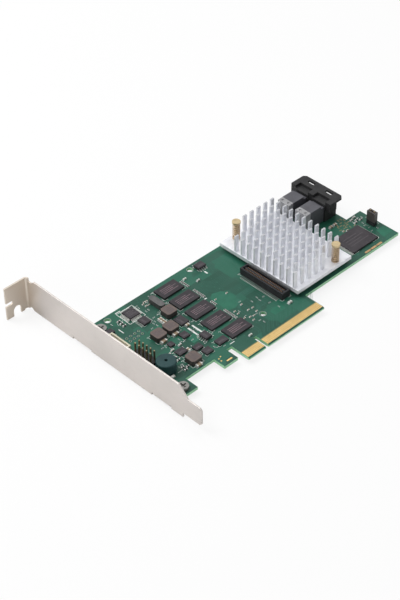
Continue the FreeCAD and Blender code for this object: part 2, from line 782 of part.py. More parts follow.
made = []
coils = []
for i, (x, y) in enumerate(sink_pins):
    stem = prism("sink_stem_%d" % i, bx(x), y, -pcb_t - barb_h, 12, stem_r,
                 pin_z + pcb_t + barb_h)
    cap = prism("sink_cap_%d" % i, bx(x), y, pin_z - cap_h, 24, cap_r, cap_h)
    barb = taper("sink_barb_%d" % i, bx(x), y, -pcb_t - barb_h, 12, stem_r * 0.6,
                 clip_hole_r + barb_over, barb_h - 0.1)
    made.append(joined("sink_pin_%d" % i, [stem, cap, barb]))
    coil = doc.addObject("Part::Feature", "coil_%d" % i)
    coil.Shape = coil_shape()
    bind(coil, "Placement.Base.x", bx(x))
    bind(coil, "Placement.Base.y", y)
    bind(coil, "Placement.Base.z", sink_z + sink_t + wire_r)
    coils.append(coil)
node("sink_push_pins", group("sink_push_pins", made))
node("sink_springs", group("sink_springs", coils))

# ---------------------------------------------------------------- module socket
sock_n = 25

sock_mid = bx(sock_x + sock_w / 2)
shell = block("socket_shell", bx(sock_x), sock_y, sock_z, sock_w, sock_d, sock_h - sock_z)
cavity = block("socket_cavity", bx(sock_x + sock_wall), sock_y + sock_wall, sock_floor,
               sock_w - sock_wall * 2, sock_d - sock_wall * 2, sock_h)
tongue = block("socket_tongue", sock_mid - tongue_w / 2, sock_y + sock_wall / 2, sock_z,
               tongue_w, sock_d - sock_wall, tongue_h - sock_z)
slits = []
slit_d = sock_pitch * (sock_n - 1) + blade_w + 0.2
for k in range(2):
    x = sock_mid - tongue_w / 2 - blade_t if k == 0 else sock_mid + tongue_w / 2
    slits.append(block("socket_slit_%d" % k, x, sock_y + sock_d / 2 - slit_d / 2, 0,
                       blade_t, slit_d, sock_h))
shell_cut = less("socket_open", shell, cavity)
shell_all = joined("socket_with_tongue", [shell_cut, tongue])
node("module_socket", less("module_socket", shell_all, joined("socket_slits", slits)))

pins = new_body("module_socket_contacts")
first = sock_y + sock_d / 2 - sock_pitch * (sock_n - 1) / 2 - blade_w / 2
sk = new_sketch(pins, "socket_contact_pair", "XZ_Plane", -(first + blade_w))
for side in (-1, 1):
    inner = sock_mid + tongue_w / 2 * side
    outer = inner + blade_t * side
    tip = sock_mid + (sock_w / 2 + tail_x) * side
    outline(sk, [(inner, 0), (inner, blade_h), (outer, blade_h), (outer, tail_t), (tip, tail_t),
                 (tip, 0)])
f = pad(pins, "socket_contact_pad", sk, blade_w)
pattern(pins, "socket_contact_rows", [f], sk, "N_Axis", sock_pitch * (sock_n - 1), sock_n, True)
node("module_socket_contacts", pins)

# ---------------------------------------------------------------- drive connectors
ports = [sas_y0, sas_y0 + sas_pitch]

solid = []
holes = []
cores = []
cells = []
sas_pins = []
for i, y in enumerate(ports):
    solid.append(centred("sas_port_%d" % i, bx(sas_x + sas_w / 2), y, 0, sas_w, sas_half * 2, sas_h))
    holes.append(centred("sas_mouth_%d" % i, bx(mouth_x + 5), y, mouth_z0, 10, mouth_half * 2,
                         mouth_z1 - mouth_z0))
    holes.append(centred("sas_window_%d" % i, bx(win_x0 + win_w / 2), y, mouth_z1 - 0.5,
                         win_w, win_d, wing_z1))
    holes.append(centred("sas_recess_%d" % i, bx(wing_x0 + (rec_x - wing_x0) / 2), y, sas_h,
                         rec_x - wing_x0, rec_half * 2, wing_z1))
    core_w = core_x - mouth_x + 0.2
    cores.append(centred("sas_core_%d" % i, bx(mouth_x - 0.2 + core_w / 2), y, core_z0,
                         core_w, core_half * 2, core_z1 - core_z0))
    for k, z in enumerate((cell_z0, cell_z1)):
        cells.append(block("sas_cell_%d_%d" % (i, k), bx(mouth_x + cell_gap), y - cell_half, z,
                           5, cell_half * 2, cell_h))
        pin_z0 = z if k == 0 else z + cell_h - blip_t
        for j in range(7):
            sas_pins.append(centred("sas_pin_%d_%d_%d" % (i, k, j),
                                    bx(mouth_x + cell_gap + blip_len / 2),
                                    y + blip_pitch * (j - 3), pin_z0, blip_len, blip_w, blip_t))
solid.append(block("sas_web", bx(wing_x0), sas_y0, 0, wing_x1 - wing_x0, sas_pitch, wing_z1 - 1))
solid.append(block("sas_wings", bx(wing_x0), wing_y0, wing_z0, wing_x1 - wing_x0,
                   wing_y1 - wing_y0, wing_z1 - wing_z0))
roof = new_body("sas_roof")
sk = new_sketch(roof, "sas_roof_outline", "XY_Plane", wing_z1 - roof_t)
outline(sk, [(bx(wing_x1 - 0.5), wing_y0), (bx(roof_x - roof_c), wing_y0),
             (bx(roof_x), wing_y0 + roof_c), (bx(roof_x), wing_y1 - roof_c),
             (bx(roof_x - roof_c), wing_y1), (bx(wing_x1 - 0.5), wing_y1)])
pad(roof, "sas_roof_pad", sk, roof_t)
solid.append(roof)
hull = less("sas_hollow", joined("sas_solid", solid), joined("sas_holes", holes))
core = less("sas_core", joined("sas_cores", cores), joined("sas_cells", cells))
node("sas_housing", joined("sas_housing", [hull, core]))
node("sas_contacts", group("sas_contacts", sas_pins))

wafer_n = 8
wafers = new_body("sas_wafers")
for i, y in enumerate(ports):
    low = y - wafer_pitch * (wafer_n - 1) / 2 - wafer_t / 2
    sk = new_sketch(wafers, "wafer_%d" % i, "XZ_Plane", -(low + wafer_t))
    outline(sk, [(bx(sas_start), wafer_z), (bx(sas_x), wafer_z), (bx(sas_x), wafer_low),
                 (bx(wafer_step), wafer_low), (bx(wafer_step), wafer_h), (bx(sas_start), wafer_h)])
    f = pad(wafers, "wafer_pad_%d" % i, sk, wafer_t)
    pattern(wafers, "wafer_rows_%d" % i, [f], sk, "N_Axis", wafer_pitch * (wafer_n - 1),
            wafer_n, True)
    # what joins the ribs, set back from their outline
    run = wafer_pitch * (wafer_n - 1)
    sk = new_sketch(wafers, "wafer_core_%d" % i, "XZ_Plane", -(low + wafer_t / 2 + run))
    xa = bx(sas_start) + wafer_in
    xb = bx(wafer_step) - wafer_in
    outline(sk, [(xa, wafer_z + wafer_in), (bx(sas_x), wafer_z + wafer_in),
                 (bx(sas_x), wafer_low - wafer_in), (xb, wafer_low - wafer_in),
                 (xb, wafer_h - wafer_in), (xa, wafer_h - wafer_in)])
    pad(wafers, "wafer_core_pad_%d" % i, sk, run)
node("sas_wafers", wafers)
made = []
for i, y in enumerate(ports):
    cx = bx(sas_start - clip_w / 2)
    base = centred("sas_clip_%d" % i, cx, y, 0, clip_w, clip_half * 2, wafer_h)
    dots = []
    for k in (-1, 1):
        dots.append(prism("sas_dot_%d_%d" % (i, k + 1), cx, y + clip_half * k / 2, wafer_h - 0.6,
                          8, clip_rec_r, 1))
    made.append(less("sas_clip_cut_%d" % i, base, joined("sas_dots_%d" % i, dots)))
node("sas_rear_clips", group("sas_rear_clips", made))

# ---------------------------------------------------------------- packages


def packages(name, places, h):
    """Leadless packages given as centre x, y and the two side lengths."""
    boxes = []
    for i, (x, y, w, d) in enumerate(places):
        boxes.append(centred("%s_%d" % (name, i), bx(x), y, 0, w, d, h))
    node(name, group(name, boxes) if len(boxes) > 1 else boxes[0])


def leads(body, tag, side, x, y, width, over, count, pitch, w, h):
    """Two facing rows of gull-wing leads of a package centred on x, y."""
    run = (over - width) / 2
    span = pitch * (count - 1)
    if side == "x":
        sk = new_sketch(body, tag, "XZ_Plane", -(y - span / 2 + w / 2))
        mid = bx(x)
    else:
        sk = new_sketch(body, tag, "YZ_Plane", bx(x) - span / 2 - w / 2)
        mid = dim(y)
    for s in (-1, 1):
        e = mid + width / 2 * s
        outline(sk, [(e, h - lead_t), (e, h), (e + run * s * 0.45, lead_t), (e + run * s, lead_t),
                     (e + run * s, 0), (e + run * s * 0.3, 0)])
    f = pad(body, tag + "_pad", sk, w)
    pattern(body, tag + "_rows", [f], sk, "N_Axis", span, count, side == "x")


packages("dram_chips", [
    (54.3, 61.8, dram_w, dram_d), (54.3, 51.0, dram_w, dram_d), (54.3, 40.2, dram_w, dram_d),
    (54.3, 29.4, dram_w, dram_d), (57.3, 18.6, dram_w, dram_d)], dram_h)
packages("power_chips", [
    (42.5, 41.0, 5.0, 6.0), (36.5, 32.5, 4.0, 4.0), (46.0, 17.5, 6.0, 4.0), (35.0, 22.0, 4.5, 3.5),
    (36.5, 17.0, 4.5, 4.0), (27.3, 25.2, 5.0, 4.0), (27.5, 32.2, 3.0, 3.0)], power_h)
packages("power_diode", [(screw_x + 0.8, ear_a + screw_dy - 5.4, 4.0, 3.4)], diode_h)

node("qfp_chip", centred("qfp_chip", bx(qfp_x), qfp_y, lift, qfp_w, qfp_w, qfp_h - lift))
legs = new_body("qfp_leads")
leads(legs, "qfp_x", "x", qfp_x, qfp_y, qfp_w, qfp_over, 12, fine_pitch, fine_w, qfp_h / 2)
leads(legs, "qfp_y", "y", qfp_x, qfp_y, qfp_w, qfp_over, 12, fine_pitch, fine_w, qfp_h / 2)
node("qfp_leads", legs)

node("tssop_chip", centred("tssop_chip", bx(sop_x), sop_y, lift, sop_w, sop_d, sop_h - lift))
legs = new_body("tssop_leads")
leads(legs, "tssop_x", "x", sop_x, sop_y, sop_w, sop_over, 7, sop_pitch, fine_w, sop_h / 2)
node("tssop_leads", legs)

node("flash_chip", centred("flash_chip", bx(flash_x), flash_y, lift, flash_w, flash_d,
                           flash_h - lift))
legs = new_body("flash_leads")
leads(legs, "flash_x", "x", flash_x, flash_y, flash_w, flash_over, 28, fine_pitch, fine_w,
      flash_h / 2)
node("flash_leads", legs)

so_a = (77.4, 64.2)
so_b = (43.0, 25.0)
box_a = centred("so8_a", bx(so_a[0]), so_a[1], lift, so_l, so_w, so_h - lift)
box_b = centred("so8_b", bx(so_b[0]), so_b[1], lift, so_w, so_l, so_h - lift)
node("so8_chips", group("so8_chips", [box_a, box_b]))
legs = new_body("so8_leads")
leads(legs, "so8_a_y", "y", so_a[0], so_a[1], so_w, so_over, 4, so_pitch, so_lead, so_h / 2)
leads(legs, "so8_b_x", "x", so_b[0], so_b[1], so_w, so_over, 4, so_pitch, so_lead, so_h / 2)
node("so8_leads", legs)

# metal can of the oscillator, a bar with round ends
can = new_body("oscillator")
sk = new_sketch(can, "can_outline", "XY_Plane")
cx = bx(can_x)
rounded(sk, [
    (cx - can_w / 2, can_y - can_d / 2, can_r), (cx + can_w / 2, can_y - can_d / 2, can_r),
    (cx + can_w / 2, can_y + can_d / 2, can_r), (cx - can_w / 2, can_y + can_d / 2, can_r)])
pad(can, "can_pad", sk, can_h)
node("oscillator", can)

# moulded power inductors, square with cut corners
cubes = new_body("power_inductors")
sk = new_sketch(cubes, "inductor_outlines", "XY_Plane")
for x, y in ((27.1, 40.1), (34.8, 40.0), (42.2, 49.0), (27.4, 17.0)):
    xa = bx(x) - coil_w / 2
    xb = bx(x) + coil_w / 2
    ya = y - coil_w / 2
    yb = y + coil_w / 2
    outline(sk, [(xa + coil_c, ya), (xb - coil_c, ya), (xb, ya + coil_c), (xb, yb - coil_c),
                 (xb - coil_c, yb), (xa + coil_c, yb), (xa, yb - coil_c), (xa, ya + coil_c)])
pad(cubes, "inductor_pad", sk, coil_h)
node("power_inductors", cubes)

# ---------------------------------------------------------------- headers


def posts(name, places, top):
    made = []
    for i, (x, y) in enumerate(places):
        made.append(centred("%s_%d" % (name, i), bx(x), y, -pcb_t - post_tail, post_w, post_w,
                            top + pcb_t + post_tail))
    return group(name, made)


pins = posts("front_header_pins", head_pins, post_top)
base = block("front_header_block", bx(head_x) - pin_pitch / 2, head_y - pin_pitch / 2, 0,
             pin_pitch * 2, pin_pitch * head_n, ins_h)
node("front_header", less("front_header", base, pins))
node("front_header_pins", pins)

pins = posts("rear_header_pins", rear_pins, post_top - 0.1)
base = block("rear_header_block", bx(rear_x) - pin_pitch / 2, rear_y - pin_pitch / 2, 0,
             pin_pitch, pin_pitch * 2, ins_h)
node("rear_header", less("rear_header", base, pins))
node("rear_header_pins", pins)
cap_y = rear_y + pin_pitch / 2
outer = centred("jumper_block", bx(rear_x), cap_y, ins_h, pin_pitch, pin_pitch * 2, cap_top - ins_h)
inner = centred("jumper_slot", bx(rear_x), cap_y, ins_h - 1, cap_slot, cap_slot_l, cap_top)
node("jumper", less("jumper", outer, inner))

pins = posts("battery_socket_pins", cream_pins, cream_pin)
mid_y = cream_y + cream_first + pin_pitch * (cream_n - 1) / 2
outer = centred("battery_shell", bx(cream_x), mid_y, 0, cream_w, cream_d, cream_h)
inner = centred("battery_cavity", bx(cream_x), mid_y, cream_floor, cream_w - cream_wall * 2,
                cream_d - cream_wall * 2, cream_h)
shell = less("battery_open", outer, inner)
node("battery_socket", less("battery_socket", shell, pins))
node("battery_socket_pins", pins)

# ---------------------------------------------------------------- buzzer
low = rod("buzzer_can", bx(buz_x), buz_y, 0, buz_r, buz_h - buz_c)
top = doc.addObject("Part::Cone", "buzzer_rim")
bind(top, "Radius1", buz_r)
bind(top, "Radius2", buz_r - buz_c)
bind(top, "Height", buz_c)
bind(top, "Placement.Base.x", bx(buz_x))
bind(top, "Placement.Base.y", buz_y)
bind(top, "Placement.Base.z", buz_h - buz_c)
hole = prism("buzzer_hole", bx(buz_x), buz_y, buz_h - 2, 12, buz_hole, 3)
node("buzzer", less("buzzer", joined("buzzer_all", [low, top]), hole))

# ---------------------------------------------------------------- chip parts


def chips(name, places, under=False):
    """Two-terminal chips, each one small block with its ends at both short sides."""
    bodies = []
    for i, (tag, x, y, turned) in enumerate(places):
        l, w, h = case[tag]
        z = -pcb_t - h if under else dim(0)
        if turned:
            l, w = w, l
        bodies.append(centred("%s_%d" % (name, i), bx(x), y, z, l, w, h))
    node(name, group(name, bodies) if len(bodies) > 1 else bodies[0])


chips("bulk_capacitors", [
    ("1206", 26.5, 35.9, 0), ("1206", 34.0, 35.7, 0), ("1206", 26.9, 12.8, 0),
    ("0805", 42.6, 36.8, 0), ("0805", 30.9, 23.9, 1), ("0805", 36.3, 48.9, 0),
    ("0805", 36.3, 47.3, 0), ("0805", 36.3, 45.7, 0), ("0805", 146.5, 39.6, 0),
    ("0805", 149.5, 39.6, 0)])
chips("pale_capacitors", [
    ("0805", 89.0, 13.9, 0), ("0603", 22.4, 27.9, 0), ("0603", 25.4, 28.9, 0),
    ("0603", 30.5, 29.2, 0), ("0603", 58.7, 10.8, 0), ("0603", 158.2, 36.3, 0),
    ("0603", 161.0, 37.0, 0), ("0603", 65.4, 62.4, 0), ("0603", 69.4, 57.0, 0)])
small = [
    (38.2, 62.8), (39.6, 63.6), (41.0, 63.4), (38.4, 60.8), (39.9, 60.6), (65.5, 28.0),
    (65.6, 25.8), (71.4, 29.4), (71.0, 24.3), (73.6, 24.0), (68.0, 20.1), (70.0, 19.6),
    (73.2, 20.9), (67.6, 17.4), (65.4, 21.3), (72.5, 40.5), (65.2, 40.8), (148.8, 33.2),
    (150.6, 32.3)]
places = [("0402", x, y, 0) for x, y in small]
chips("small_capacitors", places)
places = []
for y0, count in ((57.3, 6), (46.2, 8), (38.2, 4), (24.2, 9)):
    for j in range(count):
        places.append(("0402", 62.9, y0 + 1.0 * j, 0))
for x, y in ((20.6, 15.0), (20.6, 17.2), (20.6, 24.6), (20.6, 26.4), (22.7, 16.0), (22.7, 22.0),
             (22.7, 24.0), (21.3, 57.5), (21.3, 59.5), (21.3, 61.5), (158.3, 33.3),
             (160.4, 34.6), (162.3, 33.4)):
    places.append(("0603", x, y, 0))
chips("resistors", places)
chips("status_led", [("0805", 12.9, 15.5, 0)])

# ---------------------------------------------------------------- solder side
places = []
for i in range(3):
    for j in range(3):
        places.append(("0603", sink_cx + (i - 1) * 8, sink_cy + (j - 1) * 8, j % 2))
for y in (61.8, 51.0, 40.2, 29.4):
    places.append(("0402", 54.3, y, 1))
chips("back_capacitors", places, True)


# ---------------------------------------------------------------- check and export
doc.recompute()
for obj in doc.Objects:
    if "Invalid" in obj.State or "Error" in obj.State:
        raise RuntimeError("object %s is in state %s" % (obj.Name, obj.State))
os.makedirs("parts", exist_ok=True)
for name, obj in nodes:
    shape = obj.Shape
    if shape.isNull() or not shape.isValid() or not shape.Solids:
        raise RuntimeError("bad shape: %s" % name)
    shape.exportStep("parts/%s.step" % name)
    print(name, len(shape.Solids), round(shape.Volume, 2))
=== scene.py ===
"""Looks for the raid controller card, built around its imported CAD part.

Lengths are written in millimetres and multiplied by MM; only the floor, the
lamps and the camera's clipping are in metres. Places come from the boxes of the
CAD nodes and of the solids in them where a detail belongs to a piece. The rest are
measured from the bracket face and the contact edge, which lies at y = 0.
"""

import json
import math
import random

import bpy
from mathutils import Matrix, Vector
from mathutils.bvhtree import BVHTree

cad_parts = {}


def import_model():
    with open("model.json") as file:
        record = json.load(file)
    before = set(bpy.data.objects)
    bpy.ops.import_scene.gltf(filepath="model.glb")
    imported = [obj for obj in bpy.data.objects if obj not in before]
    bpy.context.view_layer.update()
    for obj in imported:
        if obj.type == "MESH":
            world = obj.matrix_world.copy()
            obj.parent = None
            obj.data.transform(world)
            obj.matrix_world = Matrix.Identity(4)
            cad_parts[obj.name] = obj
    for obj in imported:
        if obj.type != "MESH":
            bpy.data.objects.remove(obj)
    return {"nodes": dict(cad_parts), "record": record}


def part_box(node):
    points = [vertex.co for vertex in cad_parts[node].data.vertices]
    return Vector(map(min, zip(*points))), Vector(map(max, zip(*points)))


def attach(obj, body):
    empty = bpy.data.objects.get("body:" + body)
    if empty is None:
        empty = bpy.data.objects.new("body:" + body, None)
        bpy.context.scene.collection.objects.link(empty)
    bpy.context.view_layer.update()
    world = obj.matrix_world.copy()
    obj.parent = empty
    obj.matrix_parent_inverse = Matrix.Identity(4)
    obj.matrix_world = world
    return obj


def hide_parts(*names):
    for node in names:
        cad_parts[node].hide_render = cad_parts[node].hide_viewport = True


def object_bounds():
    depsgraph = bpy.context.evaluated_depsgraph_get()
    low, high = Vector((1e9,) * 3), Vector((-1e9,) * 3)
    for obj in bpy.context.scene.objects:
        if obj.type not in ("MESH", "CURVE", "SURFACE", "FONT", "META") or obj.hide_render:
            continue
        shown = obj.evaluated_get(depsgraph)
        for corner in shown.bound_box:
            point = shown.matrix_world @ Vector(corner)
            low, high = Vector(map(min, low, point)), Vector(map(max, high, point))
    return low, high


MM = 0.001
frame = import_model()
cad_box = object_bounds()
nodes = frame["nodes"]
board_lo, board_hi = [Vector(c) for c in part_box("pcb")]
TOP = board_hi.z
LOW = board_lo.z
# the face of the bracket, from the mount on it; places along x are measured from there
FACE_X = next(m for m in frame["record"]["mounts"] if m["name"] == "bracket_face")["pos_m"][0]
# how far print, pads and films stand off the board
INK_T = 0.02 * MM
PAD_T = 0.03 * MM
HEADER_PITCH = 2.54 * MM
dice = random.Random(7)


# ------------------------------------------------------------------ reading the frame
def solids(name):
    """Boxes of the separate solids of one CAD node, as (low corner, high corner)."""
    mesh = nodes[name].data
    leader = {}

    def find(key):
        while leader[key] != key:
            key = leader[key]
        return key

    keys = [tuple(round(c * 1e6) for c in v.co) for v in mesh.vertices]
    for key in keys:
        leader.setdefault(key, key)
    for poly in mesh.polygons:
        first = find(keys[poly.vertices[0]])
        for v in poly.vertices[1:]:
            leader[find(keys[v])] = first
    groups = {}
    for key in leader:
        groups.setdefault(find(key), []).append(key)
    boxes = []
    for points in groups.values():
        lo = Vector([min(p[i] for p in points) for i in range(3)]) * 1e-6
        hi = Vector([max(p[i] for p in points) for i in range(3)]) * 1e-6
        boxes.append((lo, hi))
    return sorted(boxes, key=lambda b: (round(b[0].x, 5), round(b[0].y, 5)))


def middle(box):
    return (box[0] + box[1]) / 2


def everything():
    """One search tree over all CAD meshes, to ask what stands where."""
    verts = []
    faces = []
    for obj in nodes.values():
        start = len(verts)
        verts += [v.co.copy() for v in obj.data.vertices]
        faces += [[start + i for i in p.vertices] for p in obj.data.polygons]
    return BVHTree.FromPolygons(verts, faces)


tree = everything()


def clear(x, y, reach, up=True):
    """True where the bare board shows at x, y and at a distance reach around it."""
    start = 50 * MM if up else -50 * MM
    face = TOP if up else LOW
    for k in range(9):
        a = k * math.pi / 4
        r = reach if k < 8 else 0
        spot = Vector((x + r * math.cos(a), y + r * math.sin(a), start))
        hit = tree.ray_cast(spot, Vector((0, 0, -1 if up else 1)))[0]
        if hit is None or abs(hit.z - face) > 0.02 * MM:
            return False
    return True


# ------------------------------------------------------------------ mesh building
class Shapes:
    """Collects simple forms and turns them into one object."""

    def __init__(self):
        self.verts = []
        self.faces = []

    def add(self, points, faces):
        start = len(self.verts)
        self.verts += [Vector(p) for p in points]
        self.faces += [[start + i for i in f] for f in faces]

    def loft(self, rings, close=True):
        """Skin between rings of as many points each; both ends are capped."""
        n = len(rings[0])
        points = [p for ring in rings for p in ring]
        faces = []
        for r in range(len(rings) - 1):
            for i in range(n):
                j = (i + 1) % n
                faces.append((r * n + i, r * n + j, (r + 1) * n + j, (r + 1) * n + i))
        if close:
            faces.append(tuple(reversed(range(n))))
            faces.append(tuple((len(rings) - 1) * n + i for i in range(n)))
        self.add(points, faces)

    def slab(self, outline, z0, z1):
        """An outline given as (x, y) points, counter-clockwise, made solid from z0 to z1."""
        a, b = sorted((z0, z1))
        self.loft([[(x, y, a) for x, y in outline], [(x, y, b) for x, y in outline]])

    def plate(self, x0, y0, x1, y1, z0, z1):
        self.slab([(x0, y0), (x1, y0), (x1, y1), (x0, y1)], z0, z1)

    def disc(self, x, y, r, z0, z1, sides=16):
        self.slab([on_circle(x, y, r, k / sides) for k in range(sides)], z0, z1)

    def ring(self, x, y, r0, r1, z0, z1, sides=20):
        """A flat ring between radii r0 and r1."""
        a, b = sorted((z0, z1))
        rows = []
        for r, z in ((r0, a), (r1, a), (r1, b), (r0, b), (r0, a)):
            rows.append([(*on_circle(x, y, r, k / sides), z) for k in range(sides)])
        self.loft(rows, close=False)

    def ribbon(self, points, width, z0, z1):
        """A flat track of even width along (x, y) points."""
        left = []
        right = []
        for i, p in enumerate(points):
            p = Vector(p)
            before = (p - Vector(points[i - 1])).normalized() if i else None
            after = (Vector(points[i + 1]) - p).normalized() if i + 1 < len(points) else None
            before = before or after
            after = after or before
            way = (before + after).normalized()
            side = Vector((-way.y, way.x)) * (width / 2 / max(0.5, way.dot(after)))
            left.append(tuple(p + side))
            right.append(tuple(p - side))
        self.slab(right + left[::-1], z0, z1)

    def turned(self, x, y, profile, sides=24):
        """A solid of revolution about the vertical through x, y from (r, z) points."""
        rows = [[(*on_circle(x, y, r, k / sides), z) for k in range(sides)] for r, z in profile]
        self.loft(rows)

    def tube(self, path, radius, sides=10):
        rows = []
        for i, p in enumerate(path):
            ahead = (path[min(i + 1, len(path) - 1)] - path[max(i - 1, 0)]).normalized()
            side = ahead.cross(Vector((0, 0, 1))).normalized()
            up = side.cross(ahead)
            row = []
            for k in range(sides):
                a = 2 * math.pi * k / sides
                row.append(p + (side * math.cos(a) + up * math.sin(a)) * radius)
            rows.append(row)
        self.loft(rows)

    def done(self, name, material, smooth=False):
        mesh = bpy.data.meshes.new(name)
        mesh.from_pydata(self.verts, [], self.faces)
        mesh.validate()
        mesh.materials.append(material)
        obj = bpy.data.objects.new(name, mesh)
        bpy.context.collection.objects.link(obj)
        if smooth:
            mesh.polygons.foreach_set("use_smooth", [True] * len(mesh.polygons))
            mesh.set_sharp_from_angle(angle=math.radians(40))
        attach(obj, "root")
        return obj


def on_circle(x, y, r, share):
    a = 2 * math.pi * share
    return (x + r * math.cos(a), y + r * math.sin(a))


def softened(name, width, material, segments=2):
    """A copy of a CAD node with rounded edges, shown in its place."""
    import bmesh

    bm = bmesh.new()
    bm.from_mesh(nodes[name].data)
    bmesh.ops.remove_doubles(bm, verts=bm.verts, dist=1e-6)
    bmesh.ops.dissolve_limit(bm, angle_limit=math.radians(1), verts=bm.verts, edges=bm.edges)
    sharp = math.radians(30)
    edges = [e for e in bm.edges if len(e.link_faces) == 2 and e.calc_face_angle() > sharp]
    bmesh.ops.bevel(bm, geom=edges, offset=width, segments=segments, profile=0.5,
                    affect="EDGES", clamp_overlap=True)
    mesh = bpy.data.meshes.new(name + "_soft")
    bm.to_mesh(mesh)
    bm.free()
    mesh.materials.clear()
    mesh.materials.append(material)
    mesh.polygons.foreach_set("use_smooth", [True] * len(mesh.polygons))
    mesh.set_sharp_from_angle(angle=math.radians(45))
    obj = bpy.data.objects.new(name + "_soft", mesh)
    bpy.context.collection.objects.link(obj)
    obj.modifiers.new("normals", "WEIGHTED_NORMAL").keep_sharp = True
    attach(obj, "root")
    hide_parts(name)
    return obj


# ------------------------------------------------------------------ materials
class Look:
    """A material with short calls for the nodes used here."""

    def __init__(self, name, metallic=0.0, roughness=0.5, specular=0.5):
        self.mat = bpy.data.materials.new(name)
        self.mat.use_nodes = True
        self.nodes = self.mat.node_tree.nodes
        self.links = self.mat.node_tree.links
        self.shader = self.nodes["Principled BSDF"]
        self.shader.inputs["Metallic"].default_value = metallic
        self.shader.inputs["Roughness"].default_value = roughness
        self.shader.inputs["Specular IOR Level"].default_value = specular
        self.place = self.nodes.new("ShaderNodeTexCoord")
        self.height = None

    def space(self, scale):
        """Object coordinates in millimetres, stretched by scale along x, y and z."""
        n = self.nodes.new("ShaderNodeMapping")
        n.inputs["Scale"].default_value = [s / MM for s in scale]
        self.links.new(self.place.outputs["Object"], n.inputs["Vector"])
        return n.outputs["Vector"]

    def noise(self, scale, detail=2.0, stretch=(1, 1, 1)):
        """Noise with features about 1 / scale millimetres wide."""
        n = self.nodes.new("ShaderNodeTexNoise")
        n.inputs["Scale"].default_value = scale
        n.inputs["Detail"].default_value = detail
        self.links.new(self.space(stretch), n.inputs["Vector"])
        return n.outputs["Fac"]

    def cells(self, scale, distance="CHEBYCHEV"):
        n = self.nodes.new("ShaderNodeTexVoronoi")
        n.distance = distance
        n.inputs["Scale"].default_value = scale
        self.links.new(self.space((1, 1, 0)), n.inputs["Vector"])
        return n

    def ramp(self, value, low, high, a=0.0, b=1.0):
        n = self.nodes.new("ShaderNodeMapRange")
        n.inputs["From Min"].default_value = low
        n.inputs["From Max"].default_value = high
        n.inputs["To Min"].default_value = a
        n.inputs["To Max"].default_value = b
        self.links.new(value, n.inputs["Value"])
        return n.outputs["Result"]

    def mix(self, share, a, b):
        """Blend of two colours; each is a socket or (r, g, b)."""
        n = self.nodes.new("ShaderNodeMix")
        n.data_type = "RGBA"
        self.links.new(share, n.inputs[0])
        for socket, colour in ((n.inputs[6], a), (n.inputs[7], b)):
            if isinstance(colour, tuple):
                socket.default_value = (*colour, 1)
            else:
                self.links.new(colour, socket)
        return n.outputs[2]

    def colour(self, source):
        self.links.new(source, self.shader.inputs["Base Color"])
        return self

    def rough(self, value, a, b):
        self.links.new(self.ramp(value, 0.3, 0.7, a, b), self.shader.inputs["Roughness"])
        return self

    def bump(self, value, strength, depth=0.02):
        n = self.nodes.new("ShaderNodeBump")
        n.inputs["Strength"].default_value = strength
        n.inputs["Distance"].default_value = depth * MM
        self.links.new(value, n.inputs["Height"])
        if self.height is not None:
            self.links.new(self.height, n.inputs["Normal"])
        self.height = n.outputs["Normal"]
        self.links.new(self.height, self.shader.inputs["Normal"])
        return self

    def above(self, z):
        """1 on what lies above z, in metres of the row frame."""
        return self.ramp(self.along("Z"), z - 0.1 * MM, z)

    def along(self, axis):
        """The place along one axis, in metres of the row frame."""
        split = self.nodes.new("ShaderNodeSeparateXYZ")
        self.links.new(self.place.outputs["Object"], split.inputs["Vector"])
        return split.outputs[axis]

    def upright(self):
        """0 on faces that look along the board, 1 on faces that look up or down."""
        split = self.nodes.new("ShaderNodeSeparateXYZ")
        self.links.new(self.place.outputs["Normal"], split.inputs["Vector"])
        n = self.nodes.new("ShaderNodeMath")
        n.operation = "ABSOLUTE"
        self.links.new(split.outputs["Z"], n.inputs[0])
        return self.ramp(n.outputs["Value"], 0.4, 0.8)


def moulded(name, colour, second, roughness=0.5, grain=3.0, strength=0.35, specular=0.5):
    """Moulded plastic or epoxy with a fine matt grain."""
    look = Look(name, roughness=roughness, specular=specular)
    cloud = look.noise(0.25, 3)
    look.colour(look.mix(look.ramp(cloud, 0.35, 0.65), colour, second))
    fine = look.noise(grain, 4)
    look.rough(fine, roughness - 0.06, roughness + 0.06)
    return look.bump(fine, strength, 0.02).mat


def plated(name, colour, second, roughness=0.3, metallic=1.0, grain=1.5):
    """Plated or tinned metal, slightly uneven."""
    look = Look(name, metallic=metallic, roughness=roughness)
    cloud = look.noise(0.4, 3)
    look.colour(look.mix(look.ramp(cloud, 0.35, 0.65), colour, second))
    fine = look.noise(grain, 4)
    look.rough(fine, roughness - 0.08, roughness + 0.1)
    return look.bump(fine, 0.25, 0.01).mat


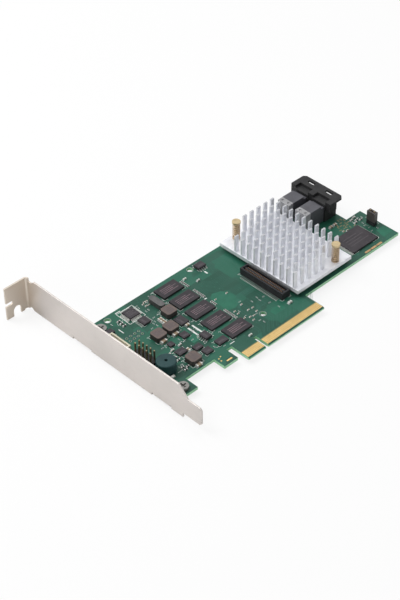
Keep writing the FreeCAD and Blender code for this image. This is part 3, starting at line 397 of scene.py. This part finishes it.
def solder_mask():
    """Green solder mask over copper planes and tracks, with the bare edge of the laminate, whose
    bright green is a painted highlight.
    """
    look = Look("solder_mask", roughness=0.36, specular=0.24)
    planes = look.cells(0.085)
    tone = look.nodes.new("ShaderNodeSeparateColor")
    look.links.new(planes.outputs["Color"], tone.inputs["Color"])
    base = look.mix(look.ramp(look.noise(0.05, 2), 0.35, 0.65), (0.013, 0.072, 0.048),
                    (0.024, 0.088, 0.062))
    base = look.mix(look.ramp(tone.outputs["Red"], 0.55, 0.60, 0.0, 0.55), base,
                    (0.022, 0.140, 0.088))
    tracks = look.nodes.new("ShaderNodeTexWave")
    tracks.bands_direction = "DIAGONAL"
    tracks.inputs["Scale"].default_value = 0.9
    look.links.new(look.space((1, 1, 0)), tracks.inputs["Vector"])
    lines = look.ramp(tracks.outputs["Fac"], 0.62, 0.72)
    where = look.ramp(tone.outputs["Green"], 0.50, 0.56)
    both = look.nodes.new("ShaderNodeMath")
    both.operation = "MULTIPLY"
    look.links.new(lines, both.inputs[0])
    look.links.new(where, both.inputs[1])
    base = look.mix(look.ramp(both.outputs["Value"], 0.0, 1.0, 0.0, 0.35), base,
                    (0.040, 0.170, 0.118))
    # painted highlight: the side faces are the bare laminate edge, and their bright green stands
    # in for light falling on them
    look.colour(look.mix(look.upright(), (0.36, 0.68, 0.42), base))
    look.bump(both.outputs["Value"], 0.35, 0.02)
    return look.bump(look.noise(1.5, 3), 0.12, 0.01).mat


def brushed_bracket():
    """Nickel-plated steel sheet: fine grain, soft stains, browner towards the folded tab."""
    look = Look("bracket_sheet", metallic=0.75, roughness=0.42)
    cloud = look.ramp(look.noise(0.035, 4), 0.35, 0.65)
    base = look.mix(cloud, (0.680, 0.635, 0.605), (0.615, 0.578, 0.550))
    spots = look.ramp(look.noise(0.6, 5), 0.60, 0.75, 0.0, 0.25)
    base = look.mix(spots, base, (0.52, 0.48, 0.45))
    far = look.ramp(look.along("Y"), board_hi.y + 22 * MM, board_hi.y + 36 * MM, 0.0, 0.7)
    look.colour(look.mix(far, base, (0.63, 0.54, 0.43)))
    grain = look.noise(5.0, 3, (1, 0.06, 1))
    look.rough(grain, 0.36, 0.50)
    look.bump(grain, 0.25, 0.006)
    return look.bump(look.noise(0.12, 2), 0.10, 0.05).mat


def anodised():
    """Pale anodised aluminium of the heat sink, with fine marks up the fins and painted shade
    darkening the fin tops.
    """
    look = Look("heat_sink_anodised", metallic=0.45, roughness=0.46)
    cloud = look.ramp(look.noise(0.3, 3), 0.35, 0.65)
    metal = look.mix(cloud, (0.84, 0.85, 0.88), (0.74, 0.75, 0.79))
    # painted shade: the fin tops get a darker colour so they catch less of the top light
    painted_shade_tops = look.above(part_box("heatsink")[1][2] - 0.02 * MM)
    look.colour(look.mix(painted_shade_tops, metal, (0.52, 0.53, 0.55)))
    grain = look.noise(4.0, 3, (1, 1, 0.08))
    look.rough(grain, 0.40, 0.55)
    return look.bump(grain, 0.3, 0.01).mat


def inductor():
    """Pressed powder body: pale speckled top, with the sides painted darker as shade."""
    look = Look("inductor_body", roughness=0.6)
    speckle = look.ramp(look.noise(3.5, 4), 0.35, 0.7)
    top = look.mix(speckle, (0.135, 0.098, 0.087), (0.092, 0.070, 0.062))
    # painted shade: the sides take a far darker copy of the top colour
    look.colour(look.mix(look.upright(), (0.035, 0.030, 0.027), top))
    return look.bump(look.noise(5.0, 4), 0.4, 0.03).mat


def ink():
    look = Look("legend_ink", roughness=0.55)
    look.colour(look.mix(look.ramp(look.noise(2.0, 3), 0.3, 0.7), (0.78, 0.80, 0.78),
                         (0.62, 0.66, 0.63)))
    return look.bump(look.noise(6.0, 2), 0.2, 0.01).mat


MASK = solder_mask()
GOLD = plated("gold_plate", (0.86, 0.60, 0.26), (0.78, 0.53, 0.22), 0.32)
BRACKET = brushed_bracket()
STEEL = plated("nickel_screw", (0.24, 0.23, 0.22), (0.17, 0.17, 0.16), 0.45)
EPOXY = moulded("package_epoxy", (0.032, 0.028, 0.033), (0.046, 0.040, 0.046), 0.5, 6.0, 0.5, 0.3)
DRAM = moulded("memory_epoxy", (0.021, 0.018, 0.022), (0.034, 0.029, 0.034), 0.5, 6.0, 0.5, 0.3)
COPPER = plated("worn_copper", (0.50, 0.31, 0.15), (0.40, 0.27, 0.14), 0.45, 0.5)
TIPS = plated("socket_tip_metal", (0.30, 0.17, 0.10), (0.22, 0.13, 0.08), 0.45, 0.5)
SOFT_PAD = moulded("thermal_pad_grey", (0.28, 0.30, 0.33), (0.34, 0.36, 0.38), 0.8)
SINK = anodised()
BRASS = plated("brass_pin", (0.62, 0.50, 0.30), (0.52, 0.41, 0.24), 0.38, 0.9)
WIRE = plated("spring_wire", (0.56, 0.44, 0.31), (0.46, 0.35, 0.25), 0.38, 0.85)
BLACK = moulded("black_plastic", (0.014, 0.014, 0.016), (0.022, 0.022, 0.025), 0.5, 4.0, 0.35, 0.3)
HOUSING = moulded("housing_plastic", (0.022, 0.022, 0.023), (0.032, 0.032, 0.033), 0.5, 4.0, 0.35,
                  0.2)
JUMPER = moulded("jumper_plastic", (0.050, 0.043, 0.042), (0.066, 0.057, 0.055), 0.5, 4.0)
GREY = moulded("grey_plastic", (0.070, 0.070, 0.082), (0.092, 0.092, 0.106), 0.45, 4.0)
PALE = moulded("pale_plastic", (0.27, 0.27, 0.28), (0.35, 0.35, 0.36), 0.5, 4.0)
TIN = plated("tin_plate", (0.74, 0.74, 0.70), (0.62, 0.62, 0.59), 0.36, 0.5)
FEET = plated("dull_tin", (0.30, 0.31, 0.30), (0.22, 0.23, 0.22), 0.45, 0.6)
BRONZE = plated("header_post", (0.42, 0.33, 0.20), (0.30, 0.23, 0.15), 0.40)
SOLDER = plated("solder_joint", (0.58, 0.59, 0.58), (0.46, 0.47, 0.47), 0.34, 0.6)
CAN = plated("oscillator_can", (0.12, 0.12, 0.12), (0.085, 0.085, 0.085), 0.5, 0.6)
FERRITE = inductor()
CREAM = moulded("cream_plastic", (0.66, 0.62, 0.48), (0.60, 0.56, 0.43), 0.5, 3.0)
BUZZER = moulded("buzzer_plastic", (0.008, 0.040, 0.042), (0.016, 0.058, 0.060), 0.5, 2.0, 0.35,
                 0.3)
TAN = moulded("tan_ceramic", (0.26, 0.19, 0.12), (0.32, 0.24, 0.16), 0.55, 6.0)
WHITE = moulded("white_ceramic", (0.40, 0.42, 0.38), (0.32, 0.34, 0.31), 0.55, 6.0)
DARK = moulded("resistor_top", (0.035, 0.035, 0.040), (0.050, 0.050, 0.055), 0.4, 6.0)
LAMP = moulded("lamp_resin", (0.80, 0.84, 0.80), (0.72, 0.78, 0.74), 0.25, 2.0, 0.1)
INK = ink()
MARK = moulded("package_mark", (0.230, 0.150, 0.172), (0.120, 0.088, 0.102), 0.6, 2.0)
FAINT = moulded("faint_mark", (0.085, 0.070, 0.080), (0.060, 0.052, 0.060), 0.6, 2.0)
LAMINATE = moulded("bare_laminate", (0.20, 0.19, 0.07), (0.16, 0.16, 0.06), 0.5, 5.0)
TRACK = moulded("track_under_mask", (0.026, 0.118, 0.084), (0.036, 0.140, 0.102), 0.36, 1.5, 0.1,
                0.24)
POUR = moulded("plane_under_mask", (0.018, 0.132, 0.080), (0.024, 0.150, 0.094), 0.38, 1.5, 0.1,
               0.24)

LOOKS = {
    "pcb": MASK, "gold_fingers": GOLD, "bracket": BRACKET, "bracket_screws": STEEL,
    "controller": EPOXY, "thermal_pad": SOFT_PAD, "heatsink": SINK, "sink_push_pins": BRASS,
    "sink_springs": WIRE, "module_socket": BLACK, "module_socket_contacts": FEET,
    "sas_housing": HOUSING, "sas_contacts": GOLD, "sas_wafers": GREY, "sas_rear_clips": PALE,
    "dram_chips": DRAM, "power_chips": EPOXY, "power_diode": EPOXY, "qfp_chip": EPOXY,
    "qfp_leads": TIN, "tssop_chip": EPOXY, "tssop_leads": FEET, "flash_chip": EPOXY,
    "flash_leads": TIN, "so8_chips": EPOXY, "so8_leads": FEET, "oscillator": CAN,
    "power_inductors": FERRITE, "front_header": BLACK, "front_header_pins": BRONZE,
    "rear_header": BLACK, "rear_header_pins": BRONZE, "jumper": JUMPER, "battery_socket": CREAM,
    "battery_socket_pins": TIN, "buzzer": BUZZER, "bulk_capacitors": TAN,
    "pale_capacitors": WHITE, "small_capacitors": TAN, "resistors": DARK, "status_led": LAMP,
    "back_capacitors": TAN}


def dress_nodes():
    for name, look in LOOKS.items():
        mesh = nodes[name].data
        mesh.materials.clear()
        mesh.materials.append(look)


def soften_edges():
    """Small rounded edges where light would catch them."""
    for name, width in (("bracket", 0.12), ("dram_chips", 0.12), ("flash_chip", 0.12),
                        ("qfp_chip", 0.12), ("power_inductors", 0.25), ("oscillator", 0.3),
                        ("power_chips", 0.1), ("buzzer", 0.15), ("so8_chips", 0.12),
                        ("tssop_chip", 0.1), ("power_diode", 0.2), ("sas_rear_clips", 0.12)):
        softened(name, width * MM, LOOKS[name])


# ------------------------------------------------------------------ board details
def chip_ends():
    """Metal ends, solder and pads of the two-terminal chips."""
    metal = Shapes()
    solder = Shapes()
    skin = 0.02 * MM
    side = 0.12 * MM
    cap_share = 0.22
    solder_share = 0.6
    for name in ("bulk_capacitors", "pale_capacitors", "small_capacitors", "resistors",
                 "status_led", "back_capacitors"):
        for lo, hi in solids(name):
            up = middle((lo, hi)).z > LOW
            base, top = (lo.z, hi.z) if up else (hi.z, lo.z)
            way = 1 if up else -1
            wide = hi - lo
            axis = 0 if wide.x > wide.y else 1
            length = wide[axis]
            cap = length * cap_share
            for s in (-1, 1):
                edge = hi[axis] if s > 0 else lo[axis]
                a = Vector((lo.x - skin, lo.y - skin))
                b = Vector((hi.x + skin, hi.y + skin))
                a[axis] = min(edge + s * skin, edge - s * cap)
                b[axis] = max(edge + s * skin, edge - s * cap)
                metal.plate(a.x, a.y, b.x, b.y, base, top + skin * way)
                spread = 0.35 * MM if length > 1.2 * MM else 0.2 * MM
                low = [a.copy(), b.copy()]
                low[1 if s > 0 else 0][axis] += s * spread
                low[0][1 - axis] -= side
                low[1][1 - axis] += side
                rise = base + (top - base) * solder_share
                lower = corners(low[0], low[1], base + 0.01 * MM * way)
                upper = corners(a, b, rise)
                rings = [lower, upper] if up else [upper, lower]
                solder.loft(rings)
    metal.done("chip_end_caps", TIN)
    solder.done("chip_solder", SOLDER)


def corners(a, b, z):
    return [(a.x, a.y, z), (b.x, a.y, z), (b.x, b.y, z), (a.x, b.y, z)]


def lead_pads():
    """Tinned pads under the feet of every lead."""
    pads = Shapes()
    side = 0.03 * MM
    outside = 0.35 * MM
    under = 0.55 * MM
    for leads, bodies in (("qfp_leads", "qfp_chip"), ("tssop_leads", "tssop_chip"),
                          ("flash_leads", "flash_chip"), ("so8_leads", "so8_chips"),
                          ("module_socket_contacts", "module_socket")):
        homes = solids(bodies)
        for lo, hi in solids(leads):
            c = middle((lo, hi))
            home = min(homes, key=lambda b: (middle(b) - c).length)
            m = middle(home)
            half = (home[1] - home[0]) / 2
            axis = 0 if abs(c.x - m.x) / half.x > abs(c.y - m.y) / half.y else 1
            s = 1 if c[axis] > m[axis] else -1
            far = hi[axis] if s > 0 else lo[axis]
            a = Vector((lo.x - side, lo.y - side))
            b = Vector((hi.x + side, hi.y + side))
            a[axis] = min(far + s * outside, far - s * under)
            b[axis] = max(far + s * outside, far - s * under)
            pads.plate(a.x, a.y, b.x, b.y, TOP, TOP + PAD_T)
    pads.done("lead_pads", TIN)


def pin_joints():
    """Solder cones under the through pins and drive ports, and rings around bare holes."""
    joints = Shapes()
    for name in ("front_header_pins", "rear_header_pins", "battery_socket_pins"):
        for box in solids(name):
            c = middle(box)
            tip = box[0].z
            joints.turned(c.x, c.y, [(0.40 * MM, tip + 0.1 * MM), (0.50 * MM, LOW - 0.35 * MM),
                                     (0.90 * MM, LOW - 0.05 * MM), (0.95 * MM, LOW)], 14)
    for lo, hi in solids("sas_wafers") + solids("sas_rear_clips"):
        for i in range(4):
            for j in range(8):
                x = lo.x + (i + 0.5) / 4 * (hi.x - lo.x)
                y = lo.y + (j + 0.5) / 8 * (hi.y - lo.y)
                joints.turned(x, y, [(0.16 * MM, LOW - 0.30 * MM), (0.28 * MM, LOW - 0.18 * MM),
                                     (0.36 * MM, LOW)], 8)
    joints.done("pin_joints", SOLDER, True)
    rings = Shapes()
    halos = Shapes()
    for z0, z1 in ((TOP, TOP + PAD_T), (LOW - PAD_T, LOW)):
        for x, y, r in hole_places():
            rings.ring(x, y, r + 0.02 * MM, r + 0.25 * MM, z0, z1)
            if r < 1 * MM:
                halos.ring(x, y, r + 0.27 * MM, r + 0.55 * MM, z0, z1)
    rings.done("hole_rings", FEET)
    halos.done("hole_halos", BUZZER)


def hole_places():
    """Bare holes through the board: module mounts from the record, and the header not fitted."""
    module_r = 1.6 * MM
    spare_r = 0.52 * MM
    spare_x = FACE_X + 16.0 * MM
    spare_y = 47.6 * MM
    found = []
    for mount in frame["record"]["mounts"]:
        if mount["name"].startswith("module_hole"):
            found.append((mount["pos_m"][0], mount["pos_m"][1], module_r))
    for i in range(4):
        for j in range(2):
            found.append((spare_x + HEADER_PITCH * i, spare_y + HEADER_PITCH * j, spare_r))
    return found


def legend():
    """White print: outlines around packages, first-pin dots, and plain bars."""
    print_ = Shapes()
    z = (TOP, TOP + INK_T)
    line = 0.14 * MM
    dot_out = 0.5 * MM
    dot_r = 0.22 * MM
    for name, gap in (("dram_chips", 0.35), ("flash_chip", 0.25),
                      ("power_inductors", 0.3), ("so8_chips", 0.25), ("tssop_chip", 0.3),
                      ("buzzer", 0.4), ("battery_socket", 0.25), ("front_header", 0.25),
                      ("power_chips", 0.3), ("oscillator", 0.3), ("module_socket", 0.4),
                      ("power_diode", 0.35)):
        for lo, hi in solids(name):
            g = gap * MM
            x0, y0, x1, y1 = lo.x - g, lo.y - g, hi.x + g, hi.y + g
            reach = min(x1 - x0, y1 - y0) * 0.28
            for cx, sx in ((x0, 1), (x1, -1)):
                for cy, sy in ((y0, 1), (y1, -1)):
                    if not clear(cx, cy, 0.1 * MM):
                        continue
                    bar(print_, cx, cy, cx + sx * reach, cy, line, z)
                    bar(print_, cx, cy, cx, cy + sy * reach, line, z)
            if clear(x0 - dot_out, y1, 0.25 * MM):
                print_.disc(x0 - dot_out, y1, dot_r, *z, 10)
    leads = solids("qfp_leads")
    out = 0.55 * MM
    x0, y0 = (min(b[0][i] for b in leads) - out for i in (0, 1))
    x1, y1 = (max(b[1][i] for b in leads) + out for i in (0, 1))
    for ends in ((x0, y0, x1, y0), (x0, y0, x0, y1), (x1, y1, x0, y1), (x1, y1, x1, y0)):
        bar(print_, *ends, 0.3 * MM, z)
    # plain bars, each as x from the bracket face, y, width and depth
    for x0, y0, w, d in ((41.0, 28.2, 0.9, 7.1), (43.8, 28.2, 0.9, 7.1), (61.5, 44.4, 1.6, 0.7),
                         (76.2, 57.8, 0.8, 2.2), (24.0, 66.9, 3.2, 0.5), (17.4, 54.0, 0.5, 3.6),
                         (130.2, 68.0, 4.0, 0.4), (47.4, 13.0, 3.0, 0.4)):
        print_.plate(FACE_X + x0 * MM, y0 * MM, FACE_X + (x0 + w) * MM, (y0 + d) * MM, *z)
    print_.done("legend_print", INK)


def bar(shapes, x0, y0, x1, y1, w, z):
    a, b = sorted((x0, x1))
    c, d = sorted((y0, y1))
    shapes.plate(a - w / 2, c - w / 2, b + w / 2, d + w / 2, *z)


def marks():
    """Plain pale dashes where packages carry print, and the dimple of the first pin."""
    dashes = Shapes()
    faint = Shapes()
    dimples = Shapes()
    half = 0.24 * MM
    space = 0.22 * MM
    for name in ("dram_chips", "flash_chip", "qfp_chip", "tssop_chip", "so8_chips", "power_chips",
                 "power_inductors"):
        for lo, hi in solids(name):
            size = hi - lo
            axis = 0 if size.x > size.y else 1
            rows = 4 if size[1 - axis] > 5 * MM else 2
            print_ = dashes if name == "dram_chips" else faint
            for r in range(rows):
                across = lo[1 - axis] + size[1 - axis] * (0.30 + 0.135 * r)
                at = lo[axis] + size[axis] * 0.16
                stop = lo[axis] + size[axis] * (0.86 - 0.18 * (r % 2))
                while at < stop:
                    run = dice.uniform(0.3, 0.8) * MM
                    a = [0, 0]
                    b = [0, 0]
                    a[axis], b[axis] = at, min(at + run, stop)
                    a[1 - axis], b[1 - axis] = across - half, across + half
                    print_.plate(a[0], a[1], b[0], b[1], hi.z, hi.z + 0.008 * MM)
                    at += run + space
            if name != "power_inductors":
                r = min(size.x, size.y) * 0.055
                x = lo.x + max(0.7 * MM, size.x * 0.09)
                y = hi.y - max(0.7 * MM, size.y * 0.09)
                dimples.ring(x, y, r * 0.7, r, hi.z, hi.z + 0.012 * MM, 18)
    dashes.done("memory_marks", MARK)
    faint.done("package_marks", FAINT)
    dimples.done("first_pin_dimples", DARK)


def vias():
    """Small plated holes scattered over the free board on both faces."""
    rims = Shapes()
    cores = Shapes()
    taken = set()
    grid = 0.8 * MM
    drill = 0.13 * MM
    fingers_top = 7 * MM
    for up, count in ((True, 520), (False, 700)):
        z = (TOP, TOP + INK_T) if up else (LOW - INK_T, LOW)
        for _ in range(count):
            x = dice.uniform(board_lo.x, board_hi.x)
            y = dice.uniform(board_lo.y, board_hi.y)
            x = round(x / grid) * grid
            y = round(y / grid) * grid
            spot = (up, round(x / MM, 1), round(y / MM, 1))
            if spot in taken or not clear(x, y, 0.7 * MM, up) or y < fingers_top:
                continue
            taken.add(spot)
            rims.ring(x, y, drill, 0.30 * MM, *z, 10)
            cores.disc(x, y, drill, z[0], z[0] + 0.01 * MM, 8)
    rims.done("via_rims", POUR)
    cores.done("via_holes", DARK)


def tracks():
    """Bundles of tracks under the mask, with runs at 45 degrees."""
    run = Shapes()
    zt = (TOP, TOP + 0.010 * MM)
    zl = (LOW - 0.010 * MM, LOW)
    high = [b for b in solids("gold_fingers") if b[0].x > 0 and b[1].z > TOP]
    for i, box in enumerate(high):
        x = middle(box).x
        if i % 3 == 2:
            continue
        y0 = box[1].y
        lean = (3 + 0.28 * i) * MM
        path = [(x, y0), (x, y0 + 2 * MM), (x + lean, y0 + 2 * MM + lean),
                (x + lean, 30 * MM)]
        run.ribbon(path, 0.16 * MM, *zt)
        run.ribbon([(p[0] * 0.98, p[1]) for p in path], 0.16 * MM, *zl)
    for lo, hi in solids("dram_chips"):
        for k in range(9):
            y = lo.y + (hi.y - lo.y) * (k + 0.5) / 9
            turn = (hi.y + 6 * MM if y < 34 * MM else y - 5 * MM)
            x0 = hi.x + 3.2 * MM
            jog = abs(turn - y)
            way = 1 if turn > y else -1
            path = [(x0, y), (x0 + (3 + 0.5 * k) * MM, y),
                    (x0 + (3 + 0.5 * k) * MM + jog * 0.5, y + way * jog * 0.5),
                    (30 * MM, y + way * jog * 0.5)]
            run.ribbon(path, 0.15 * MM, *zt)
            run.ribbon([(p[0] + 14 * MM, p[1]) for p in path], 0.15 * MM, *zl)
    for k in range(14):
        y = (27 + 0.75 * k) * MM
        run.ribbon([(-45 * MM, y), (-20 * MM, y), (-12 * MM, y + 8 * MM), (40 * MM, y + 8 * MM)],
                   0.18 * MM, *zl)
    run.done("tracks", TRACK)


def planes():
    """Lighter copper planes under the mask."""
    plane = Shapes()
    for outline in (((63.9, 31.0), (68.0, 29.8), (73.4, 31.8), (74.2, 38.0), (71.6, 43.6),
                     (67.0, 45.2), (64.0, 43.0)),
                    ((36.0, 25.6), (43.0, 25.6), (43.8, 27.6), (40.8, 30.8), (36.0, 30.8)),
                    ((26.0, 44.4), (33.4, 44.4), (33.4, 46.6), (26.0, 46.6)),
                    ((77.6, 12.8), (85.0, 12.8), (85.0, 16.0), (80.0, 17.4), (77.6, 16.0)),
                    ((160.0, 16.0), (167.0, 16.0), (167.0, 22.0), (161.4, 22.0))):
        plane.slab([(FACE_X + a * MM, b * MM) for a, b in outline], TOP, TOP + 0.008 * MM)
    plane.done("copper_planes", POUR)


def finger_strip():
    """Bare laminate between and around the gold contacts, on both faces."""
    strip = Shapes()
    film = 0.012 * MM
    boxes = solids("gold_fingers")
    for side in (-1, 1):
        part = [b for b in boxes if b[0].x * side > 0]
        x0 = min(b[0].x for b in part) - 0.25 * MM
        x1 = max(b[1].x for b in part) + 0.25 * MM
        y0 = min(b[0].y for b in part) + 0.1 * MM
        y1 = max(b[1].y for b in part) + 0.4 * MM
        strip.plate(x0, y0, x1, y1, TOP, TOP + film)
        strip.plate(x0, y0, x1, y1, LOW - film, LOW)
    strip.done("finger_laminate", LAMINATE)


def tab_marks():
    """Small gold test marks on the separate tab."""
    gold = Shapes()
    gold.plate(FACE_X + 38.2 * MM, 5.6 * MM, FACE_X + 41.6 * MM, 6.4 * MM, TOP, TOP + PAD_T)
    for x, y in ((36.6, 9.6), (38.2, 10.2), (36.4, 7.8)):
        gold.disc(FACE_X + x * MM, y * MM, 0.38 * MM, TOP, TOP + PAD_T)
    gold.done("tab_marks", GOLD)


def bare_pads():
    """Pads of chips that are not fitted, in regions given as x and y ranges and a number."""
    pads = Shapes()
    copper = Shapes()
    placed = []
    off = 0.42 * MM
    half = 0.22 * MM
    behind_ports = (148, 157, 32.5, 41.5, 60)
    for region in (behind_ports, (157, 168, 22, 39, 44), (17, 27, 58, 66, 14),
                   (30, 48, 48, 66, 46), (20, 48, 14, 34, 60), (28, 52, 32, 50, 50),
                   (64, 84, 12, 32, 18)):
        x0, x1, y0, y1, count = region
        kind = copper if region is behind_ports else pads
        for _ in range(count):
            x = FACE_X + dice.uniform(x0, x1) * MM
            y = dice.uniform(y0, y1) * MM
            near = any(math.hypot(x - a, y - b) < 1.35 * MM for a, b in placed)
            if near or not clear(x, y, 0.95 * MM):
                continue
            placed.append((x, y))
            turned = dice.random() < 0.5
            for s in (-off, off):
                px, py = (x, y + s) if turned else (x + s, y)
                kind.plate(px - half, py - half, px + half, py + half, TOP, TOP + PAD_T)
    pads.done("bare_pads", SOLDER)
    copper.done("worn_pads", COPPER)


def edge_strip():
    """Plated segments with cut corners along the lower rear edge of the board."""
    x = FACE_X + 150 * MM
    low = board_lo.y
    while not clear(x, low, 0.1 * MM):
        low += 0.1 * MM
    a, b = low + 0.4 * MM, low + 1.6 * MM
    cut = 0.25 * MM
    strip = Shapes()
    for x0, x1 in ((-6.5, -2.4), (-2.1, 2.0), (2.3, 6.0)):
        c, d = x + x0 * MM, x + x1 * MM
        strip.slab([(c + cut, a), (d - cut, a), (d, a + cut), (d, b - cut), (d - cut, b),
                    (c + cut, b), (c, b - cut), (c, a + cut)], TOP, TOP + PAD_T)
    strip.done("edge_strip", COPPER)


def socket_tips():
    """Sprung contact tips along both sides of the module socket's tongue."""
    tips = Shapes()
    lo, hi = [Vector(c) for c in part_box("module_socket")]
    m = middle((lo, hi))
    half = 0.2 * MM
    for side in (-1, 1):
        for box in solids("module_socket_contacts"):
            c = middle(box)
            if (c.x - m.x) * side < 0:
                continue
            x = m.x + side * 0.80 * MM
            tips.slab([(x - half, c.y - half), (x + half, c.y - half), (x + half, c.y + half),
                       (x, c.y + 0.3 * MM), (x - half, c.y + half)],
                      hi.z - 1.3 * MM, hi.z - 0.5 * MM)
    tips.done("socket_tips", TIPS)


def springs():
    """Smooth wire coils with closed ends in place of the plain ones."""
    coil = Shapes()
    for lo, hi in solids("sink_springs"):
        c = middle((lo, hi))
        wire = 0.25 * MM
        reach = (hi.x - lo.x) / 2 - wire
        turns = 8.5
        flat = 0.8
        steps = int(turns * 20)
        path = []
        for k in range(steps + 1):
            t = k / steps
            a = 2 * math.pi * turns * t
            rise = min(1.0, max(0.0, (t * turns - flat) / (turns - flat * 2)))
            z = lo.z + wire + (hi.z - lo.z - wire * 2) * rise
            path.append(Vector((c.x + reach * math.cos(a), c.y + reach * math.sin(a), z)))
        coil.tube(path, wire, 8)
    obj = coil.done("spring_coils", WIRE, True)
    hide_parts("sink_springs")


# ------------------------------------------------------------------ stage, light and camera
def stage():
    size = 1.6
    mesh = bpy.data.meshes.new("floor")
    z = cad_box[0][2] - 0.05 * MM
    mesh.from_pydata([(-size, -size, z), (size, -size, z), (size, size, z), (-size, size, z)], [],
                     [(0, 1, 2, 3)])
    floor = bpy.data.objects.new("floor", mesh)
    bpy.context.collection.objects.link(floor)
    look = Look("floor_white", roughness=0.9, specular=0.0)
    look.shader.inputs["Base Color"].default_value = (0.86, 0.86, 0.86, 1)
    rays = look.nodes.new("ShaderNodeLightPath")
    glow = look.nodes.new("ShaderNodeEmission")
    glow.inputs["Strength"].default_value = 1.0
    share = look.nodes.new("ShaderNodeMath")
    share.operation = "MULTIPLY"
    share.inputs[1].default_value = 0.82
    blend = look.nodes.new("ShaderNodeMixShader")
    look.links.new(rays.outputs["Is Camera Ray"], share.inputs[0])
    look.links.new(share.outputs["Value"], blend.inputs["Fac"])
    look.links.new(look.shader.outputs["BSDF"], blend.inputs[1])
    look.links.new(glow.outputs["Emission"], blend.inputs[2])
    out = look.nodes["Material Output"]
    look.links.new(blend.outputs["Shader"], out.inputs["Surface"])
    mesh.materials.append(look.mat)


def world():
    w = bpy.data.worlds.new("studio")
    bpy.context.scene.world = w
    w.use_nodes = True
    back = w.node_tree.nodes["Background"]
    back.inputs["Color"].default_value = (1, 1, 1, 1)
    rays = w.node_tree.nodes.new("ShaderNodeLightPath")
    shine = w.node_tree.nodes.new("ShaderNodeMath")
    shine.operation = "MULTIPLY"
    shine.inputs[1].default_value = 0.75
    w.node_tree.links.new(rays.outputs["Is Glossy Ray"], shine.inputs[0])
    level = w.node_tree.nodes.new("ShaderNodeMath")
    level.operation = "MAXIMUM"
    w.node_tree.links.new(rays.outputs["Is Camera Ray"], level.inputs[0])
    w.node_tree.links.new(shine.outputs["Value"], level.inputs[1])
    strength = w.node_tree.nodes.new("ShaderNodeMapRange")
    strength.inputs["To Min"].default_value = 0.34
    strength.inputs["To Max"].default_value = 1.0
    w.node_tree.links.new(level.outputs["Value"], strength.inputs["Value"])
    w.node_tree.links.new(strength.outputs["Result"], back.inputs["Strength"])


def lamp(name, place, target, size, power):
    data = bpy.data.lights.new(name, "AREA")
    data.shape = "SQUARE"
    data.size = size
    data.energy = power
    obj = bpy.data.objects.new(name, data)
    obj.location = place
    way = Vector(target) - Vector(place)
    obj.rotation_euler = way.to_track_quat("-Z", "Y").to_euler()
    bpy.context.collection.objects.link(obj)


def lights():
    aim = (0, 0.035, 0)
    lamp("key", (-0.35, 0.65, 0.95), aim, 0.6, 7.5)
    lamp("top", (0.25, 0.25, 1.2), aim, 0.9, 5.5)
    lamp("fill", (-1.0, -0.35, 0.45), aim, 0.6, 2.4)


def camera():
    """A long lens above the bracket end, as the picture was taken."""
    azimuth = math.radians(-45.82)
    height = math.radians(39.89)
    roll = math.radians(0.52)
    distance = 798.4
    target = Vector((FACE_X + 80 * MM, 35 * MM, 0))
    back = Vector((math.sin(azimuth) * math.cos(height), -math.cos(azimuth) * math.cos(height),
                   math.sin(height)))
    right = Vector((math.cos(azimuth), math.sin(azimuth), 0))
    up = back.cross(right)
    side = right * math.cos(roll) + up * math.sin(roll)
    head = up * math.cos(roll) - right * math.sin(roll)
    turn = Matrix((side, head, back)).transposed().to_4x4()
    data = bpy.data.cameras.new("camera")
    data.sensor_width = 36.0
    data.lens = 98.9
    data.shift_x = -0.076
    data.shift_y = -0.0145
    data.clip_start = 0.01
    data.clip_end = 10
    obj = bpy.data.objects.new("camera", data)
    bpy.context.collection.objects.link(obj)
    obj.matrix_world = Matrix.Translation(target + back * distance * MM) @ turn
    bpy.context.scene.camera = obj


dress_nodes()
soften_edges()
chip_ends()
lead_pads()
pin_joints()
legend()
marks()
vias()
tracks()
planes()
finger_strip()
tab_marks()
bare_pads()
edge_strip()
socket_tips()
springs()
stage()
world()
lights()
camera()
bpy.context.scene.view_settings.view_transform = "Standard"
